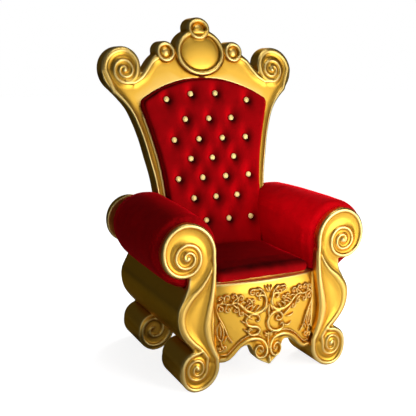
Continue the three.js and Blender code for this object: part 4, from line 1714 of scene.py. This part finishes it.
    def _seat(self, finishes: Finishes) -> None:
        """Makes and dresses the seat cushion, rolled at its front edge and crowned in its middle.

        Args:
            finishes: The finishes that the pieces are dressed in.
        """
        half = self.low_x - self.play
        front, rear = self.seat_depth
        seat = Bench.start(bpy.ops.mesh.primitive_cube_add, size=1)
        seat.name = seat.data.name = "velvet_seat_cushion"
        seat.scale = ((2 * half - 6) * MM, (rear - front) * MM, self.seat_height * MM)
        middle = self.seat_z + 0.5 + self.seat_height / 2
        seat.location = (0, (rear + front) / 2 * MM, middle * MM)
        Bench.settle(seat)
        Bench.bevel(seat, 23, segments=7)
        Bench.fuse(seat, voxel=6.0, passes=6)
        rows = Bench.coordinates(seat)
        across = np.clip(1 - (rows[:, 0] / (half * MM)) ** 4, 0, 1)
        depth = np.clip((rows[:, 1] / MM - front - 2) / 120, 0, 1)
        top = np.clip((rows[:, 2] / MM - self.seat_z) / 52, 0, 1)
        rows[:, 2] += self.crown * MM * across * depth * top
        Bench.set_coordinates(seat, rows)
        self._plump(seat, pressure=4, cap=7)
        rows = Bench.coordinates(seat)
        rows[:, 2] = np.maximum(rows[:, 2], self.seat_z * MM)
        rows[:, 0] = np.clip(rows[:, 0], -half * MM, half * MM)
        Bench.set_coordinates(seat, rows)
        Bench.round_shading(seat)
        # Painted shade: the cushion is darkest on its top and a little darker on its front face.
        Bench.mark_facing_shade(seat, (0.0, 0.1, -1.0), 1.0)
        self.placing.put(seat)
        finishes.dress(seat, Slot.VELVET, "seat_cushion")

    def build(self, finishes: Finishes) -> None:
        """Makes and dresses every soft part.

        Args:
            finishes: The finishes that the pieces are dressed in.
        """
        self._back_pad(finishes)
        self._arm_roll(finishes)
        self._seat(finishes)


@dataclass
class SeatBase:
    """The hidden base under the cushion: its board and its rear rail."""

    bevel: float = 2.0
    broad: float = 0.05

    def build(self, finishes: Finishes) -> None:
        """Makes and dresses the seat board and the rear rail from their boxes.

        Args:
            finishes: The finishes that the pieces are dressed in.
        """
        for node, name in (("seat_board", "gilt_seat_board"), ("rear_rail", "gilt_rear_rail")):
            low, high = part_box(node)
            middle = (low + high) / 2
            piece = Bench.start(bpy.ops.mesh.primitive_cube_add, size=1, location=middle)
            piece.name = piece.data.name = name
            piece.scale = high - low
            Bench.settle(piece)
            self._panel(piece)
            Bench.bevel(piece, self.bevel, segments=3)
            Bench.round_shading(piece, 40)
            finishes.dress(piece, Slot.GOLD, node)

    def _panel(self, piece: Item) -> None:
        """Sinks a plain panel into the rear face, where the piece has a broad one.

        Args:
            piece: The board or the rail.
        """
        with Bench.editing(piece, "DESELECT"):
            broad = self.broad
            if Bench.pick(piece, lambda face: face.normal.y > 0.9 and face.calc_area() > broad):
                Bench.step(30, (0, -6, 0))


# ---- Studio --------------------------------------------------------------------------------


@dataclass
class Studio:
    """The pale floor, the soft lights and the camera, in metres."""

    placing: Placing
    azimuth: float = -25.3265
    elevation: float = 11.2604
    tilt: float = 11.4224
    distance: float = 3.0792
    target: Triple = (-0.315, 0.0, 0.8693)
    lens: float = 61.176
    film: float = 36.0
    room: float = 0.05
    seat: Triple = (0, 0, 0.85)
    lights: tuple[tuple[str, Triple, float, float], ...] = (
        ("front", (0.5, -2.4, 0.7), 0.5, 15),
        ("right", (2.8, -0.8, 1.9), 0.8, 52),
        ("left", (-3.0, -0.5, 1.2), 1.2, 10),
        ("rear", (1.9, 1.9, 1.7), 0.9, 40),
    )
    spots: tuple[tuple[str, Triple, Triple, float, float], ...] = (
        ("arm", (-1.3, -1.75, 1.5), (0.46, -0.1, 0.8), 22, 430),
    )
    cards: tuple[tuple[str, Triple, Pair, float], ...] = (
        ("front_card", (1.6, -3.1, 0.8), (2.2, 2.2), 4.4),
        ("crest_card", (1.6, -3.1, 2.6), (2.3, 1.5), 1.55),
        ("left_card", (-2.2, -3.9, 1.4), (1.6, 2.2), 1.5),
        ("rear_card", (2.0, 3.5, 2.2), (2.2, 1.8), 1.1),
        ("top_card", (0.4, -1.2, 3.8), (1.4, 0.5), 5.0),
    )

    @staticmethod
    def _towards(azimuth: float, elevation: float) -> Vector:
        """Points from the front of the throne.

        Args:
            azimuth: The turn around it, in radians.
            elevation: The climb, in radians.

        Returns:
            The direction.
        """
        level = math.cos(elevation)
        across, depth = math.sin(azimuth) * level, -math.cos(azimuth) * level
        return Vector((across, depth, math.sin(elevation)))

    @staticmethod
    def _aim(way: Vector) -> Quaternion:
        """The turn that points -Z in a direction."""
        return way.to_track_quat("-Z", "Y")

    def _camera(self) -> None:
        """The camera at the viewing angle."""
        a, e, t = (math.radians(v) for v in (self.azimuth, self.elevation, self.tilt))
        data = bpy.data.cameras.new("camera")
        data.lens = self.lens
        data.sensor_width = self.film
        camera = Bench.link("camera", data)
        place = Vector(self.target) + self._towards(a, e) * self.distance
        camera.location = place + Vector((0, self.placing.front_y, -FOOT_FLAT))
        camera.rotation_euler = self._aim(-self._towards(a, t)).to_euler()
        bpy.context.scene.camera = camera

    def _floor(self) -> None:
        """A pale floor that glows for the camera and fades into the backdrop; every other ray sees
        a grey floor that darkens towards the back left, painted shade for the gold to mirror.
        """
        floor = Bench.start(bpy.ops.mesh.primitive_plane_add, size=60)
        floor.name = "pale_floor"
        made, graph, body = Graph.material("pale_floor")
        plain = {"Base Color": (0.5, 0.5, 0.5, 1), "Roughness": 0.9, "Specular IOR Level": 0.0}
        graph.feed(body, plain)
        place = graph.add("TexCoord", {}).outputs["Object"]
        reach = graph.add("VectorMath", {0: place}, operation="LENGTH").outputs["Value"]
        fade = graph.spread(reach, 0.82, 1.0, 0.3, 1.3)
        glow = graph.add("Emission", {"Strength": fade}).outputs["Emission"]
        seen = graph.add("AddShader", {0: body.outputs["BSDF"], 1: glow}).outputs["Shader"]
        # Painted shade: for every other ray the floor darkens towards the back left, so that the
        # gold mirrors it darker there.
        way = {0: place, 1: (0.45, -0.9, 0.0)}
        slope = graph.add("VectorMath", way, operation="DOT_PRODUCT").outputs["Value"]
        shade = graph.spread(slope, 0.18, 0.9, -0.4, 1.4)
        mirrored = graph.add("BsdfDiffuse", {"Color": shade}).outputs["BSDF"]
        surface = graph.tree.nodes["Material Output"]
        graph.feed(surface, {"Surface": graph.by_ray(mirrored, seen)})
        floor.data.materials.append(made)

    def _hang(self, data: bpy.types.Light, place: Triple, aim: Triple, power: float) -> None:
        """Hangs a light that gold doesn't mirror.

        Args:
            data: The light.
            place: Where it hangs.
            aim: What it points at.
            power: Its power, in watts.
        """
        data.energy = power
        light = Bench.link(data.name, data)
        light.location = place
        light.rotation_euler = self._aim(Vector(aim) - Vector(place)).to_euler()
        light.visible_glossy = False

    def _light(self, name: str, place: Triple, size: float, power: float) -> None:
        """Hangs a soft square light that points at the seat.

        Args:
            name: The light's name.
            place: Where it hangs, in metres.
            size: The length of its sides, in metres.
            power: Its power, in watts.
        """
        data = bpy.data.lights.new(name, "AREA")
        data.shape = "RECTANGLE"
        data.size = data.size_y = size
        self._hang(data, place, self.seat, power)

    def _spot(self, name: str, place: Triple, aim: Triple, angle: float, power: float) -> None:
        """A narrow soft light.

        Args:
            name: Its name.
            place: Where it stands.
            aim: What it points at.
            angle: Width of its cone, in degrees.
            power: Its power, in watts.
        """
        data = bpy.data.lights.new(name, "SPOT")
        data.spot_size = math.radians(angle)
        data.spot_blend = 1.0
        data.shadow_soft_size = 0.2
        self._hang(data, place, aim, power)

    def _card(self, name: str, place: Triple, size: Pair, glow: float) -> None:
        """A glowing card for the gold to reflect.

        Args:
            name: Its name.
            place: Its middle.
            size: Its width and height.
            glow: Its brightness.
        """
        card = Bench.start(bpy.ops.mesh.primitive_plane_add, size=1)
        card.name = name
        turn = self._aim(Vector(self.seat) - Vector(place)).to_matrix().to_4x4()
        card.data.transform(Matrix.Translation(place) @ turn @ Matrix.Diagonal((*size, 1, 1)))
        made, graph, body = Graph.material(name)
        black = (0, 0, 0, 1)
        lit = {"Base Color": black, "Emission Color": WHITE, "Emission Strength": glow}
        graph.feed(body, lit)
        card.data.materials.append(made)
        card.visible_camera = False

    def _backdrop(self) -> None:
        """A white backdrop for the camera and a dim room for every other ray."""
        world = bpy.data.worlds.new("studio")
        bpy.context.scene.world = world
        world.use_nodes = True
        graph = Graph(world.node_tree)
        room = world.node_tree.nodes["Background"]
        graph.feed(room, {"Color": WHITE, "Strength": self.room})
        backdrop = graph.add("Background", {"Color": WHITE, "Strength": 1.0})
        shown = graph.by_ray(room.outputs["Background"], backdrop.outputs["Background"])
        graph.feed(world.node_tree.nodes["World Output"], {"Surface": shown})

    def build(self) -> None:
        """Sets the stage."""
        bpy.context.scene.view_settings.view_transform = "Standard"
        self._backdrop()
        self._camera()
        self._floor()
        for light in self.lights:
            self._light(*light)
        for spot in self.spots:
            self._spot(*spot)
        for card in self.cards:
            self._card(*card)


# ---- The throne ----------------------------------------------------------------------------


def main() -> None:
    """Builds the throne and its studio."""
    logging.basicConfig(level=logging.INFO, format="%(name)s: %(message)s")
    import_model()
    placing = Placing(front_y=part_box("side_frame_right")[0].y)
    finishes = Finishes()
    finishes.build()
    back = BackFrame(placing)
    buttons = Buttons(placing)
    SideFrames(placing).build(finishes)
    Apron(placing).build(finishes)
    back.build(finishes)
    buttons.build(finishes)
    Upholstery(placing, back, buttons).build(finishes)
    SeatBase().build(finishes)
    Studio(placing).build()


if __name__ == "__main__":
    main()
